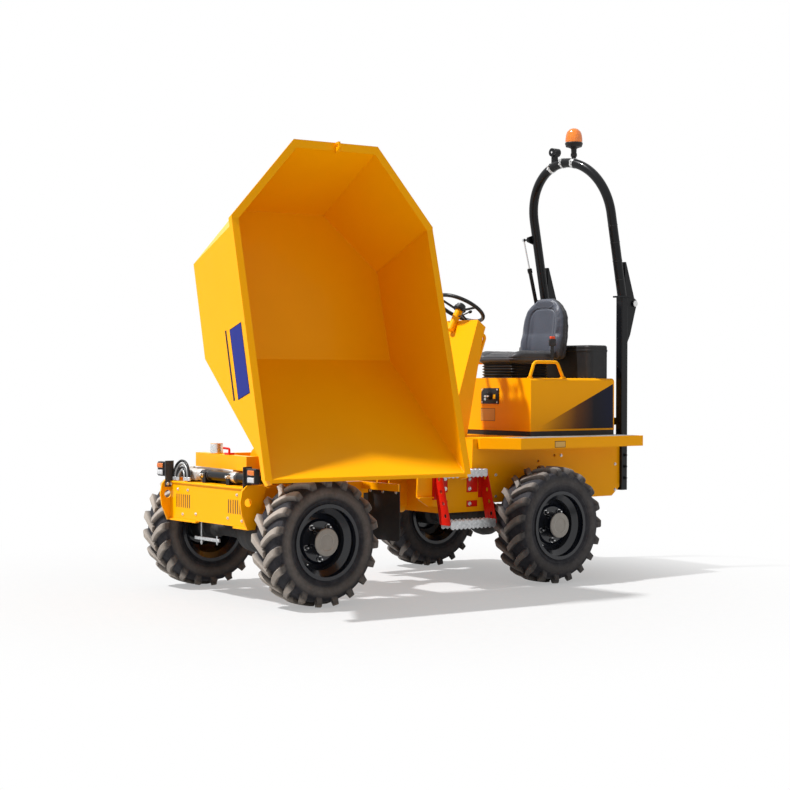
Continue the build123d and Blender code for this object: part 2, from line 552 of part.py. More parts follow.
# ---------------------------------------------------------------- rear chassis
def rear_frame():
    """Side plates, cross plates, roll bearing, engine bearers, axle saddles and tow jaw."""
    inner = SIDE_PLATE_Y - CHEEK_T
    top = DECK_Z - 8
    nose_top = KNUCKLE_Z + 210
    rear = FRAME_END_X
    outline = [(rear, top), (DECK_FRONT_X + 40, top), (DECK_FRONT_X + 46, nose_top), (-146, nose_top),
               (-140, nose_top - 150), (-160, KNUCKLE_Z + 40), (-230, KNUCKLE_Z), (-322, KNUCKLE_Z - 8),
               (-340, KNUCKLE_Z - 50), (-700, KNUCKLE_Z - 50), (-730, KNUCKLE_Z), (-1880, KNUCKLE_Z),
               (rear, KNUCKLE_Z + 60)]
    side = plate_xz(outline, inner, SIDE_PLATE_Y)
    for x, z in ((-1180, 780), (-1330, 815), (-1100, 610)):
        side -= cross_pin(x, z, inner - 1, SIDE_PLATE_Y + 1, 9)
    side += block(-255, -142, SIDE_PLATE_Y, SIDE_PLATE_Y + 26, KNUCKLE_Z + 52, KNUCKLE_Z + 60)
    body = both_sides(side)
    body += block(DECK_FRONT_X + 28, -150, -inner, inner, nose_top - 8, nose_top)
    body += block(DECK_FRONT_X + 28, DECK_FRONT_X + 40, -inner, inner, nose_top, top)
    body += block(-345, -330, -inner, inner, KNUCKLE_Z - 50, nose_top)
    body += block(-712, -700, -inner, inner, KNUCKLE_Z - 50, top)
    body += block(rear, rear + 12, -inner, inner, KNUCKLE_Z + 40, top)
    # roll bearing with webs to the nose plate
    body += bar((-330, 0, KNUCKLE_Z), (-172, 0, KNUCKLE_Z), SLEEVE_R + 8)
    for side_y in (-1, 1):
        body += block(-330, -180, side_y * 56, side_y * 68, KNUCKLE_Z, nose_top)
    body -= bar((-346, 0, KNUCKLE_Z), (-171, 0, KNUCKLE_Z), TRUNNION_R + PIN_CLEARANCE)
    # engine bearers and axle saddles
    for x in (ENGINE_FRONT_X - 90, ENGINE_REAR_X + 90):
        body += block(x - 30, x + 30, -inner, inner, KNUCKLE_Z, ENGINE_Z0)
    saddle = block(REAR_AXLE_X - 60, REAR_AXLE_X + 60, SIDE_PLATE_Y - 75, SIDE_PLATE_Y, AXLE_Z + 62, KNUCKLE_Z + 4)
    body += both_sides(saddle)
    # tow jaw below the rear end
    jaw = block(rear - 96, rear, -55, 55, KNUCKLE_Z + 20, KNUCKLE_Z + 100)
    jaw -= block(rear - 97, rear - 16, -56, 56, KNUCKLE_Z + 42, KNUCKLE_Z + 78)
    jaw = fillet(jaw.edges().filter_by(Axis.Z).group_by(Axis.X)[0], 22)
    return body + (jaw - disc(rear - 60, 0, KNUCKLE_Z, KNUCKLE_Z + 120, TOW_PIN_R))


def engine():
    """The engine as one plain block."""
    block_solid = block(ENGINE_REAR_X, ENGINE_FRONT_X, -225, 225, ENGINE_Z0, ENGINE_Z1)
    return chamfer(block_solid.edges().group_by(Axis.Z)[-1], 40)


def engine_cover():
    """Engine cover: a folded box, open below, with rounded top edges and a louvred rear."""
    x0 = COVER_REAR_X
    x1 = COVER_FRONT_X
    w = COVER_HALF_W
    outer = block(x0, x1, -w, w, COVER_BOTTOM_Z, COVER_TOP_Z)
    outer = fillet(outer.edges().filter_by(Axis.X).group_by(Axis.Z)[-1], 26)
    outer = fillet(outer.edges().group_by(Axis.X)[0].filter_by(Axis.Y).group_by(Axis.Z)[-1], 5)
    t = COVER_WALL
    hollow = block(x0 + t, x1 - t, t - w, w - t, COVER_BOTTOM_Z - 1, COVER_TOP_Z - t)
    hollow = fillet(hollow.edges().filter_by(Axis.X).group_by(Axis.Z)[-1], 22)
    cover = outer - hollow
    for row in range(7):
        slot = block(x0 - 1, x0 + t + 1, -250, 250, 1044 + 34 * row, 1058 + 34 * row)
        cover -= fillet(slot.edges().filter_by(Axis.X), 6)
    # handle recess in the front face and a hinge strip along the rear top edge
    cover += block(x1 - 1, x1 + 6, -60, 60, 1180, 1240) - block(x1 - 2, x1 + 7, -44, 44, 1196, 1224)
    return cover


def cover_seal():
    """Rubber frame between the deck and the engine cover."""
    w = COVER_HALF_W - 3
    ring = block(COVER_REAR_X + 3, COVER_FRONT_X - 3, -w, w, DECK_Z, COVER_BOTTOM_Z)
    return ring - block(COVER_REAR_X + 27, COVER_FRONT_X - 27, 24 - w, w - 24, DECK_Z - 1, COVER_BOTTOM_Z + 1)


def deck_outline(inset):
    """Deck outline, chamfered towards the front corners, moved inwards by inset."""
    w = DECK_HALF_W - inset
    x0 = DECK_REAR_X + inset
    x1 = DECK_FRONT_X - inset
    return [(x0, -w), (-790 - 0.5 * inset, -w), (x1, -430 + 0.4 * inset), (x1, 430 - 0.4 * inset),
            (-790 - 0.5 * inset, w), (x0, w)]


def deck():
    """Deck plate with a turned-down edge, an opening for the engine and notches for the posts."""
    t = 8
    body = plate_xy(deck_outline(0), DECK_Z - DECK_EDGE_H, DECK_Z)
    body -= plate_xy(deck_outline(t), DECK_Z - DECK_EDGE_H - 1, DECK_Z - t)
    body -= block(COVER_REAR_X + 27, COVER_FRONT_X - 27, 27 - COVER_HALF_W, COVER_HALF_W - 27, DECK_Z - t - 1,
                  DECK_Z + 1)
    # the frame's side plates and end plate pass under the edge through slots
    slots = block(DECK_REAR_X - 40, DECK_REAR_X + 20, SIDE_PLATE_Y - 16, SIDE_PLATE_Y + 4, DECK_Z - DECK_EDGE_H - 1,
                  DECK_Z - t)
    slots += block(DECK_FRONT_X - 20, DECK_FRONT_X + 20, SIDE_PLATE_Y - 16, SIDE_PLATE_Y + 4,
                   DECK_Z - DECK_EDGE_H - 1, DECK_Z - t)
    return body - both_sides(slots)


def console():
    """Sheet cowl in front of the driver, with side returns, a dash and the steering column."""
    base_z = KNUCKLE_Z + 210
    half = 230
    front = [(-470, base_z), (-770, 1645), (-795, 1720)]
    over_deck = DECK_Z + RUNNING_GAP
    foot_x = DECK_FRONT_X + 40 + RUNNING_GAP
    back = [(-862, 1672), (-836, 1600), (-700, over_deck), (foot_x, over_deck), (foot_x, base_z)]
    body = plate_xz(front + back, -half, half)
    inner = [(-477, base_z - 1), (-776, 1644), (-796, 1708)]
    inner_back = [(-880, 1660), (-860, 1600), (-720, over_deck - 1), (-640, 880), (-640, base_z - 1)]
    body -= plate_xz(inner + inner_back, 5 - half, half - 5)
    # dash plate and column
    body += plate_xz([(-795, 1720), (-862, 1672), (-856, 1662), (-798, 1704)], -half, half)
    lean = radians(WHEEL_LEAN)
    foot = (WHEEL_X + 175 * sin(lean), 0, WHEEL_Z - 175 * cos(lean))
    head = (WHEEL_X + 20 * sin(lean), 0, WHEEL_Z - 20 * cos(lean))
    body += bar(foot, head, 26)
    # hand rail loop at the near edge
    rail = bent_tube([(-772, half - 13, 1640), (-872, half - 13, 1616), (-790, half - 13, 1405),
                      (-690, half - 13, 1382)], 24, 11)
    return body + rail


def seat_pieces():
    """Suspension base, cushion and backrest, as plain soft solids."""
    z0 = COVER_TOP_Z
    base = block(SEAT_X - 165, SEAT_X + 185, -180, 180, z0, z0 + 103)
    base = fillet(base.edges().filter_by(Axis.Z), 30)
    half = CUSHION_L / 2
    cushion = block(SEAT_X - half, SEAT_X + half, -CUSHION_W / 2, CUSHION_W / 2, z0 + 103 + RUNNING_GAP, CUSHION_TOP_Z)
    cushion = fillet(cushion.edges().filter_by(Axis.Z), 60)
    rear = SEAT_X - half - RUNNING_GAP
    side = [(rear, z0 + 120), (rear - 12, CUSHION_TOP_Z), (rear - 52, 1915), (rear - 130, 1905),
            (rear - 110, CUSHION_TOP_Z), (rear - 90, z0 + 120)]
    back = plate_xz(side, -220, 220)
    return base, cushion, back


def rear_box():
    """Black box across the rear of the cover, behind the seat."""
    box = block(-1890, -1690, -370, 370, COVER_TOP_Z, 1565)
    box = fillet(box.edges().filter_by(Axis.Z), 45)
    return fillet(box.edges().group_by(Axis.Z)[-1], 16)


def grab_handles():
    """Tube handle on the cover each side of the seat."""
    y = COVER_HALF_W - 32
    z = COVER_TOP_Z
    tube = bent_tube([(-1135, y, z + 6), (-1175, y, z + 108), (-1385, y, z + 108), (-1440, y, z + 6)], 36, 11)
    for x in (-1136, -1439):
        tube += disc(x, y, z + RUNNING_GAP, z + 8, 20)
    return both_sides(tube)


def steps(side):
    """Ladder for one side: two slotted side plates bolted to the frame, and two treads."""
    top_y = SIDE_PLATE_Y
    stringer = plate_yz([(top_y, 742), (top_y + 64, 742), (top_y + 150, 432), (top_y + 150, 404), (top_y + 56, 404),
                         (top_y, 640)], -3, 3)
    for step in range(4):
        y = top_y + 42 + 21 * step
        z = 690 - 76 * step
        stringer -= Pos(0, y, z) * Rot(0, 90, 0) * Cylinder(13, 10)
    ladder = None
    for x in (-285, -670):
        piece = Pos(x, 0, 0) * stringer
        piece += block(x - 24, x + 24, top_y, top_y + 6, 560, 742)
        ladder = piece if ladder is None else ladder + piece
    ladder += block(-667, -288, top_y + 6, top_y + 70, 727, 741)
    ladder += block(-667, -288, top_y + 62, top_y + 152, 408, 424)
    return ladder if side > 0 else mirror(ladder, about=Plane.XZ)


# ---------------------------------------------------------------- roll-over hoop
def rops_posts():
    """Two square posts on the rear of the frame, with hinge plates for the folding hoop."""
    h = POST_SIZE / 2
    post = block(POST_X - h, POST_X + h, POST_Y - h, POST_Y + h, POST_BOTTOM_Z, POST_TOP_Z)
    post = fillet(post.edges().filter_by(Axis.Z), 7)
    plate = [(POST_X - h + 2, 1590), (POST_X - h + 2, 1896), (HOOP_PIN_X - 10, 1896), (HOOP_PIN_X - 30, 1880),
             (HOOP_PIN_X - 22, 1835), (POST_X - h - 24, 1640)]
    for y in (POST_Y - 28, POST_Y + 18):
        post += plate_xz(plate, y, y + 10)
    post += cross_pin(HOOP_PIN_X, HOOP_PIN_Z, POST_Y - 40, POST_Y + 40, HOOP_PIN_R)
    post += block(POST_X + h - 1, FRAME_END_X, POST_Y - h - 8, POST_Y + h + 8, 600, 900)
    body = both_sides(post)
    body += cross_pin(*STRUT_BASE, STRUT_Y - 10, h - POST_Y, STRUT_PIN_R)
    return body + block(POST_X - h + 4, POST_X + h - 4, h - POST_Y, POST_Y - h, 1010, 1060)


def hoop_point(y, along):
    """A point on the leaning hoop's centre plane, along its lean from the foot."""
    lean = radians(HOOP_LEAN)
    return (POST_X + along * sin(lean), y, POST_TOP_Z + 10 + along * cos(lean))


def hoop_tube(radius):
    """The leaning hoop's legs and arch as one round bar of the given radius."""
    lean = radians(HOOP_LEAN)
    rise = (HOOP_TOP_Z - POST_TOP_Z - 10) / cos(lean)
    plane = Plane(origin=hoop_point(0, 0), x_dir=(0, 1, 0), z_dir=(cos(lean), 0, -sin(lean)))
    w = POST_Y
    line = (Line((-w, 0), (-w, rise - w)) + ThreePointArc((-w, rise - w), (0, rise), (w, rise - w))
            + Line((w, rise - w), (w, 0)))
    section = Plane(origin=hoop_point(-w, 0), z_dir=(sin(lean), 0, cos(lean))) * Circle(radius)
    return sweep(section, path=plane * line)


def rops_hoop():
    """Folding hoop: legs and arch of one tube, foot plates, hinge lugs and gussets."""
    hoop = hoop_tube(HOOP_TUBE_R)
    w = POST_Y
    z0 = POST_TOP_Z + RUNNING_GAP
    foot = block(POST_X - 45, POST_X + 45, w - 45, w + 45, z0, z0 + 12)
    lug = [(POST_X - 20, z0 + 6), (POST_X - 8, 2150), (POST_X - 22, 2150), (HOOP_PIN_X - 22, HOOP_PIN_Z + 20),
           (HOOP_PIN_X + 6, HOOP_PIN_Z - 20), (POST_X - 40, z0)]
    foot += eye_plate(lug, (HOOP_PIN_X, HOOP_PIN_Z), 28, w - 17, w + 17)
    foot -= cross_pin(HOOP_PIN_X, HOOP_PIN_Z, w - 18, w + 18, HOOP_PIN_R + PIN_CLEARANCE)
    hoop += both_sides(foot)
    # strut bracket on the right leg
    eye_x = STRUT_EYE[0]
    hoop += plate_xz([(eye_x - 70, STRUT_EYE[1] - 40), (eye_x + 12, STRUT_EYE[1] - 16),
                      (eye_x + 12, STRUT_EYE[1] + 16), (eye_x - 60, STRUT_EYE[1] + 40)], STRUT_Y + 44, STRUT_Y + 52)
    return hoop + cross_pin(*STRUT_EYE, STRUT_Y + STRUT_EYE_HALF + RUNNING_GAP, STRUT_Y + 50, STRUT_PIN_R)


def beacon():
    """Flashing beacon on a stem clamped to the top of the hoop."""
    top = hoop_point(0, (HOOP_TOP_Z - POST_TOP_Z - 10) / cos(radians(HOOP_LEAN)))
    x = top[0]
    y = 95
    z = HOOP_TOP_Z + HOOP_TUBE_R
    clamp = block(x - 24, x + 24, y - 30, y + 30, z - 30, z + 26) - hoop_tube(HOOP_TUBE_R + RUNNING_GAP)
    parts = clamp + disc(x, y, z + 20, z + 74, 13) + disc(x, y, z + 66, z + 112, 66)
    lens = turned([(0, 0), (60, 0), (58, 52), (50, 74), (34, 86), (0, 90)])
    return parts, Pos(x, y, z + 112 + RUNNING_GAP) * lens


def work_lamp():
    """Small lamp on a bracket at the top of the hoop."""
    top = hoop_point(0, (HOOP_TOP_Z - POST_TOP_Z - 10) / cos(radians(HOOP_LEAN)))
    x = top[0]
    z = HOOP_TOP_Z + HOOP_TUBE_R
    body = block(x - 16, x + 16, -118, -82, z - 24, z + 30) - hoop_tube(HOOP_TUBE_R + RUNNING_GAP)
    return body + bar((x - 34, -100, z + 52), (x + 30, -100, z + 52), 30)


def gas_strut():
    """Gas strut that steadies the hoop: barrel on the right post, rod on the hoop."""
    span = (STRUT_EYE[0] - STRUT_BASE[0], STRUT_EYE[1] - STRUT_BASE[1])
    length = hypot(*span)
    turn = -degrees(atan2(span[1], span[0]))
    barrel = cylinder_barrel(420, 14, 11, 6, 13, STRUT_EYE_HALF, STRUT_PIN_R)
    rod = cylinder_rod(540, length, 6, 11, 12, STRUT_EYE_HALF)
    rod += cross_pin(length, 0, -STRUT_EYE_HALF - 4, 0, STRUT_PIN_R)
    place = Pos(STRUT_BASE[0], STRUT_Y, STRUT_BASE[1]) * Rot(0, turn, 0)
    return place * barrel, place * rod


def steering_wheel():
    """Steering wheel: rim, three spokes and a hub, on the leaning column."""
    r = WHEEL_D / 2
    wheel = Torus(r - 13, 13)
    for turn in (90, 210, 330):
        wheel += Rot(0, 0, turn) * bar((30, 0, -18), (r - 13, 0, 0), 8)
    wheel += turned([(0, -19.7), (38, -19.7), (44, -8), (40, 8), (0, 14)])
    return Pos(WHEEL_X, 0, WHEEL_Z) * Rot(0, -WHEEL_LEAN, 0) * wheel


# ---------------------------------------------------------------- assembly
def build():
    """Every piece by node name."""
    parts = {
        "front_frame": front_frame(),
        "front_axle": axle(FRONT_AXLE_X, 256),
        "slew_ring": slew_ring(),
        "slew_cylinder": slew_cylinder(),
        "front_lamps": front_lamps(),
        "mud_flaps": mud_flaps(),
        "turntable": turntable(),
        "swivel_lock": swivel_lock(),
        "skip": skip(),
        "pivot_knuckle": pivot_knuckle(),
        "rear_frame": rear_frame(),
        "rear_axle": axle(REAR_AXLE_X, SIDE_PLATE_Y - 37),
        "engine": engine(),
        "engine_cover": engine_cover(),
        "cover_seal": cover_seal(),
        "deck": deck(),
        "console": console(),
        "rear_box": rear_box(),
        "grab_handles": grab_handles(),
        "steps_left": steps(1),
        "steps_right": steps(-1),
        "rops_posts": rops_posts(),
        "rops_hoop": rops_hoop(),
        "work_lamp": work_lamp(),
        "steering_wheel": steering_wheel()}
    parts["tip_ram_barrel"], parts["tip_ram_rod"] = tip_ram()
    parts["steering_ram_barrel"], parts["steering_ram_rod"] = steering_ram()
    parts["gas_strut_barrel"], parts["gas_strut_rod"] = gas_strut()
    parts["seat_base"], parts["seat_cushion"], parts["seat_back"] = seat_pieces()
    parts["beacon_base"], parts["beacon_lens"] = beacon()
    tyre_shape = tyre()
    rim_shape = rim()
    hub_shape = hub()
    # place, axle position, side
    wheels = (("front_left", FRONT_AXLE_X, 1), ("front_right", FRONT_AXLE_X, -1),
              ("rear_left", REAR_AXLE_X, 1), ("rear_right", REAR_AXLE_X, -1))
    for name, x, side in wheels:
        place = Pos(x, side * WHEEL_Y, AXLE_Z) * Rot(-90 * side, 0, 0)
        parts["tyre_" + name] = place * tyre_shape
        parts["rim_" + name] = Compound(children=[place * rim_shape, place * hub_shape])
    return parts


os.makedirs("parts", exist_ok=True)
for node, shape in build().items():
    export_step(shape, f"parts/{node}.step")
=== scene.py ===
# %% [markdown]
# # A site dumper, dressed around its measured frame
# The solid model of the dumper is already there as a fixed frame: chassis, skip, cylinders,
# wheels and hoop, each on its own moving body. This notebook gives every surface its finish
# and adds what the frame leaves out: treaded tyres, padded seat, bolts, hoses and panels.
# Positions are in metres: X points forward, Y to the driver's left, Z up.

# %% Load the frame
import bmesh
import bpy
from math import cos, hypot, pi, radians, sin
from mathutils import Matrix, Vector


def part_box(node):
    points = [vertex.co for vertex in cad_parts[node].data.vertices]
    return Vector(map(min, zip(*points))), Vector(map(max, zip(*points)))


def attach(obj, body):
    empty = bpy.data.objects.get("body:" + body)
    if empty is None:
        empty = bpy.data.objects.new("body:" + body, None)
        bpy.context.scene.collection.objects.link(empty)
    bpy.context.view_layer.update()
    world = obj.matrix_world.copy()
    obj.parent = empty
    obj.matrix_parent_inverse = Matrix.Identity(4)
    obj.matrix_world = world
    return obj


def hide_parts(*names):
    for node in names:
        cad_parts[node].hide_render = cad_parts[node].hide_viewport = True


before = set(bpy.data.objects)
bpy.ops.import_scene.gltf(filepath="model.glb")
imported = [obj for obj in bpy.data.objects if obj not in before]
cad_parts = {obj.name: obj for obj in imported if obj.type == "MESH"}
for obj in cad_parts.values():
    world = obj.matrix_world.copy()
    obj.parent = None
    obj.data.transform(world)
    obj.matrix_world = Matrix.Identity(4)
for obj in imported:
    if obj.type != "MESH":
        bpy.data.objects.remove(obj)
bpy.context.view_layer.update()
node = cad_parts

# %% [markdown]
# ## Camera
# A long lens at chest height, in front of the machine and to its left.
# The camera's own axes are worked out from its bearing, its slight downward tilt and its roll,
# because three numbers are easier to read and to correct than a matrix.

# %% Place the camera
EYE = Vector((6.2157, 8.2718, 1.3130))
BEARING, TILT, ROLL = radians(141.8653), radians(0.5027), radians(0.1768)
SENSOR_MM = 36.0
LENS_MM = 73.31

back = Vector((sin(BEARING) * cos(TILT), -cos(BEARING) * cos(TILT), sin(TILT)))
right = Vector((cos(BEARING), sin(BEARING), 0))
up = back.cross(right)
right, up = right * cos(ROLL) + up * sin(ROLL), up * cos(ROLL) - right * sin(ROLL)
camera_data = bpy.data.cameras.new("camera")
camera_data.lens = LENS_MM
camera_data.sensor_width = SENSOR_MM
camera_data.clip_end = 200
camera = bpy.data.objects.new("camera", camera_data)
axes = Matrix((right, up, back)).transposed()
camera.matrix_world = Matrix.Translation(EYE) @ axes.to_4x4()
bpy.context.scene.collection.objects.link(camera)
bpy.context.scene.camera = camera
print("camera at", tuple(EYE), "lens", LENS_MM)

# %% [markdown]
# ## A small language for finishes
# A finish is a tree of nodes. Written out one by one they are long and hard to follow, so two
# small helpers stand in for them: `Value` wraps a socket, and sums on values add Math nodes;
# `Finish` starts a material and adds any other node by its type, its settings and its sockets.

# %% Value: a socket that can be used in sums
class Value:
    def __init__(self, tree, socket):
        self.tree, self.socket = tree, socket

    def math(self, operation, first, second=None, clamp=False):
        step = self.tree.nodes.new("ShaderNodeMath")
        step.operation = operation
        step.use_clamp = clamp
        for place, entry in enumerate((first, second)):
            if isinstance(entry, Value):
                self.tree.links.new(entry.socket, step.inputs[place])
            elif entry is not None:
                step.inputs[place].default_value = entry
        return Value(self.tree, step.outputs[0])

    def __add__(self, other): return self.math("ADD", self, other)
    def __radd__(self, other): return self.math("ADD", other, self)
    def __sub__(self, other): return self.math("SUBTRACT", self, other)
    def __rsub__(self, other): return self.math("SUBTRACT", other, self)
    def __mul__(self, other): return self.math("MULTIPLY", self, other)
    def __rmul__(self, other): return self.math("MULTIPLY", other, self)
    def __truediv__(self, other): return self.math("DIVIDE", self, other)
    def clamp(self): return self.math("ADD", self, 0.0, clamp=True)


# %% Finish: one material and its nodes
EDGE_CONTRAST = 8.0
MIX_COLOUR = {"first": 6, "second": 7}  # where a colour Mix node keeps its two colours


class Finish:
    """A material under construction. `node` adds any node and `surface` closes the tree."""

    def __init__(self, name):
        self.material = bpy.data.materials.new(name)
        self.material.use_nodes = True
        self.tree = self.material.node_tree
        self.tree.nodes.clear()
        self.at = self.node("ShaderNodeTexCoord", out="Object")

    def node(self, kind, settings=None, sockets=None, out=0):
        made = self.tree.nodes.new(kind)
        for name, setting in (settings or {}).items():
            if name == "stops":
                ramp = made.color_ramp
                while len(ramp.elements) < len(setting):
                    ramp.elements.new(0.5)
                for element, (place, colour) in zip(ramp.elements, setting):
                    element.position = place
                    element.color = (*colour, 1.0)
            else:
                setattr(made, name, setting)
        for name, entry in (sockets or {}).items():
            if isinstance(entry, Value):
                self.tree.links.new(entry.socket, made.inputs[name])
            else:
                made.inputs[name].default_value = entry
        return Value(self.tree, made.outputs[out])

    def noise(self, scale, detail=4.0, roughness=0.55, stretch=None):
        """Grey noise from 0 to 1, `scale` features to the metre, drawn out by `stretch`."""
        at = self.at
        if stretch:
            at = self.node("ShaderNodeMapping", {}, {"Vector": at, "Scale": stretch})
        return self.node("ShaderNodeTexNoise", {}, {"Vector": at, "Scale": scale, "Detail": detail,
                                                    "Roughness": roughness})

    def ramp(self, factor, stops):
        return self.node("ShaderNodeValToRGB", {"stops": stops}, {"Fac": factor})

    def blend(self, factor, first, second):
        """The colour `first` turning into `second` as the factor goes from 0 to 1."""
        made = self.tree.nodes.new("ShaderNodeMix")
        made.data_type = "RGBA"
        for place, entry in ((0, factor), (MIX_COLOUR["first"], first),
                             (MIX_COLOUR["second"], second)):
            if isinstance(entry, Value):
                self.tree.links.new(entry.socket, made.inputs[place])
            else:
                made.inputs[place].default_value = (*entry, 1.0) if place else entry
        return Value(self.tree, made.outputs[2])

    def bump(self, height, distance, strength=1.0, normal=None):
        """A bump whose full height is `distance` metres."""
        sockets = {"Height": height, "Distance": distance, "Strength": strength}
        if normal:
            sockets["Normal"] = normal
        return self.node("ShaderNodeBump", {}, sockets)

    def edges(self, width):
        """1 on the edges of a piece and 0 on its flats: the wear line, `width` metres broad."""
        smooth = self.node("ShaderNodeBevel", {"samples": 4}, {"Radius": width})
        flat = self.node("ShaderNodeNewGeometry", out="Normal")
        turned = self.node("ShaderNodeVectorMath", {"operation": "DOT_PRODUCT"},
                           {0: smooth, 1: flat}, out="Value")
        return ((1.0 - turned) * EDGE_CONTRAST).clamp()

    def surface(self, **sockets):
        shader = self.tree.nodes.new("ShaderNodeBsdfPrincipled")
        for name, entry in sockets.items():
            socket = shader.inputs[name.replace("_", " ")]
            if isinstance(entry, Value):
                self.tree.links.new(entry.socket, socket)
            elif name in ("Base_Color", "Emission_Color", "Sheen_Tint", "Coat_Tint"):
                socket.default_value = (*entry, 1.0)
            else:
                socket.default_value = entry
        output = self.tree.nodes.new("ShaderNodeOutputMaterial")
        self.tree.links.new(shader.outputs[0], output.inputs[0])
        return self.material


def srgb(red, green, blue):
    """A colour given as it looks on a screen, 0 to 255, as linear light."""
    def linear(part):
        part /= 255
        return part / 12.92 if part <= 0.04045 else ((part + 0.055) / 1.055) ** 2.4
    return tuple(linear(part) for part in (red, green, blue))

# %% [markdown]
# ## Machine paint
# The body panels are steel plate with sprayed enamel. A plain colour with one gloss would look like
# plastic. Three things make it paint: the colour drifts slowly over a panel, the surface has a fine
# orange peel that breaks up reflections, and the paint is rubbed thin on the edges. Dust lies on it in
# patches. The edges are found with a Bevel node, so no map has to be painted.

# %% Enamel in any colour
def enamel(name, colour, rubbed, roughness=0.30, coat=0.03, dust=0.06, gloss_level=0.08):
    """Sprayed enamel: `rubbed` is the colour that its edges wear to."""
    paint = Finish(name)
    drift = paint.noise(1.7, 3)
    deeper = tuple(part * 0.90 for part in colour)
    shade = paint.blend(drift, deeper, colour)
    film = paint.noise(9, 7, 0.68)
    dusty = tuple(part * 0.80 + 0.012 for part in colour)
    shade = paint.blend(((film - 0.5) * 2.6).clamp() * dust, shade, dusty)
    rub = paint.edges(0.0035) * ((paint.noise(46, 5, 0.7) - 0.42) * 4).clamp()
    shade = paint.blend(rub * 0.75, shade, rubbed)
    gloss = roughness + film * 0.13 + rub * 0.2
    peel = paint.bump(paint.noise(420, 2), 0.0004, 0.10)
    skin = paint.bump(paint.noise(3.2, 2), 0.012, 0.10, peel)
    return paint.surface(Base_Color=shade, Roughness=gloss, Normal=skin, Coat_Weight=coat,
                         Coat_Roughness=0.10, IOR=1.5, Specular_IOR_Level=gloss_level)


YELLOW = (0.96, 0.395, 0.0)
yellow_enamel = enamel("yellow_enamel", YELLOW, (0.62, 0.30, 0.03))
black_enamel = enamel("black_enamel", (0.006, 0.0065, 0.008), (0.05, 0.05, 0.055),
                      roughness=0.24, coat=0.25, dust=0.25)
# The rims' faint blue is a painted reflection of the sky in the black paint.
rim_enamel_sky_tint = enamel("rim_enamel_sky_tint", (0.006, 0.0075, 0.013), (0.05, 0.045, 0.04),
                    roughness=0.13, coat=0.40, dust=0.6, gloss_level=0.3)
red_enamel = enamel("red_enamel", (0.66, 0.014, 0.006), (0.34, 0.06, 0.04),
                    roughness=0.30, coat=0.2, dust=0.12)
print("paints", yellow_enamel.name, black_enamel.name, rim_enamel_sky_tint.name, red_enamel.name)

# %% [markdown]
# ## Bare and plated metals
# Cylinder rods are ground and chromed, so their fine lines run round them and the sheen is
# tight. Axle housings are rough castings in dark primer. Step treads are dipped in zinc, which
# freezes into pale flat crystals; a Voronoi pattern gives each crystal its own grey. Bolts are
# zinc plated too, but far smoother.

# %% Chrome, castings, alloy and zinc
def chrome():
    metal = Finish("chrome")
    rings = metal.noise(240, 3, 0.6, stretch=(1, 1, 9))
    smear = metal.noise(14, 5)
    return metal.surface(Base_Color=metal.blend(smear, (0.58, 0.59, 0.60), (0.74, 0.75, 0.76)),
                         Metallic=1.0, Roughness=0.10 + smear * 0.14,
                         Normal=metal.bump(rings, 0.00012, 0.25))


def casting(name, low, high, metallic, rough):
    """Sand-cast metal: pitted, in a blotchy colour between `low` and `high`."""
    metal = Finish(name)
    blotch = metal.noise(16, 6, 0.65)
    grit = metal.noise(330, 4, 0.7)
    rub = metal.edges(0.004) * 0.6
    shade = metal.blend(blotch, low, high)
    shade = metal.blend(rub * grit, shade, tuple(part * 2.2 + 0.03 for part in high))
    return metal.surface(Base_Color=shade, Metallic=metallic, Roughness=rough + blotch * 0.2,
                         Normal=metal.bump(grit, 0.0012, 0.45))


def zinc(name, flake, low, high, rough):
    """Zinc with crystals `flake` to the metre, each a grey of its own."""
    metal = Finish(name)
    flakes = metal.node("ShaderNodeTexVoronoi", {}, {"Vector": metal.at, "Scale": flake}, "Color")
    tone = metal.node("ShaderNodeSeparateColor", {}, {"Color": flakes}, "Red")
    grime = metal.noise(35, 5, 0.7)
    shade = metal.blend(tone * 0.7 + grime * 0.3, low, high)
    return metal.surface(Base_Color=shade, Metallic=0.85, Roughness=rough + tone * 0.14,
                         Normal=metal.bump(grime, 0.0006, 0.25))


chrome_plate = chrome()
dark_casting = casting("dark_casting", (0.020, 0.020, 0.021), (0.048, 0.047, 0.046), 0.15, 0.55)
engine_casting = casting("engine_casting", (0.16, 0.16, 0.165), (0.30, 0.30, 0.30), 0.75, 0.42)
galvanised = zinc("galvanised", 95, (0.36, 0.37, 0.38), (0.66, 0.67, 0.68), 0.34)
bolt_zinc = zinc("bolt_zinc", 260, (0.50, 0.51, 0.52), (0.80, 0.80, 0.79), 0.22)
print("metals", chrome_plate.name, dark_casting.name, galvanised.name, bolt_zinc.name)
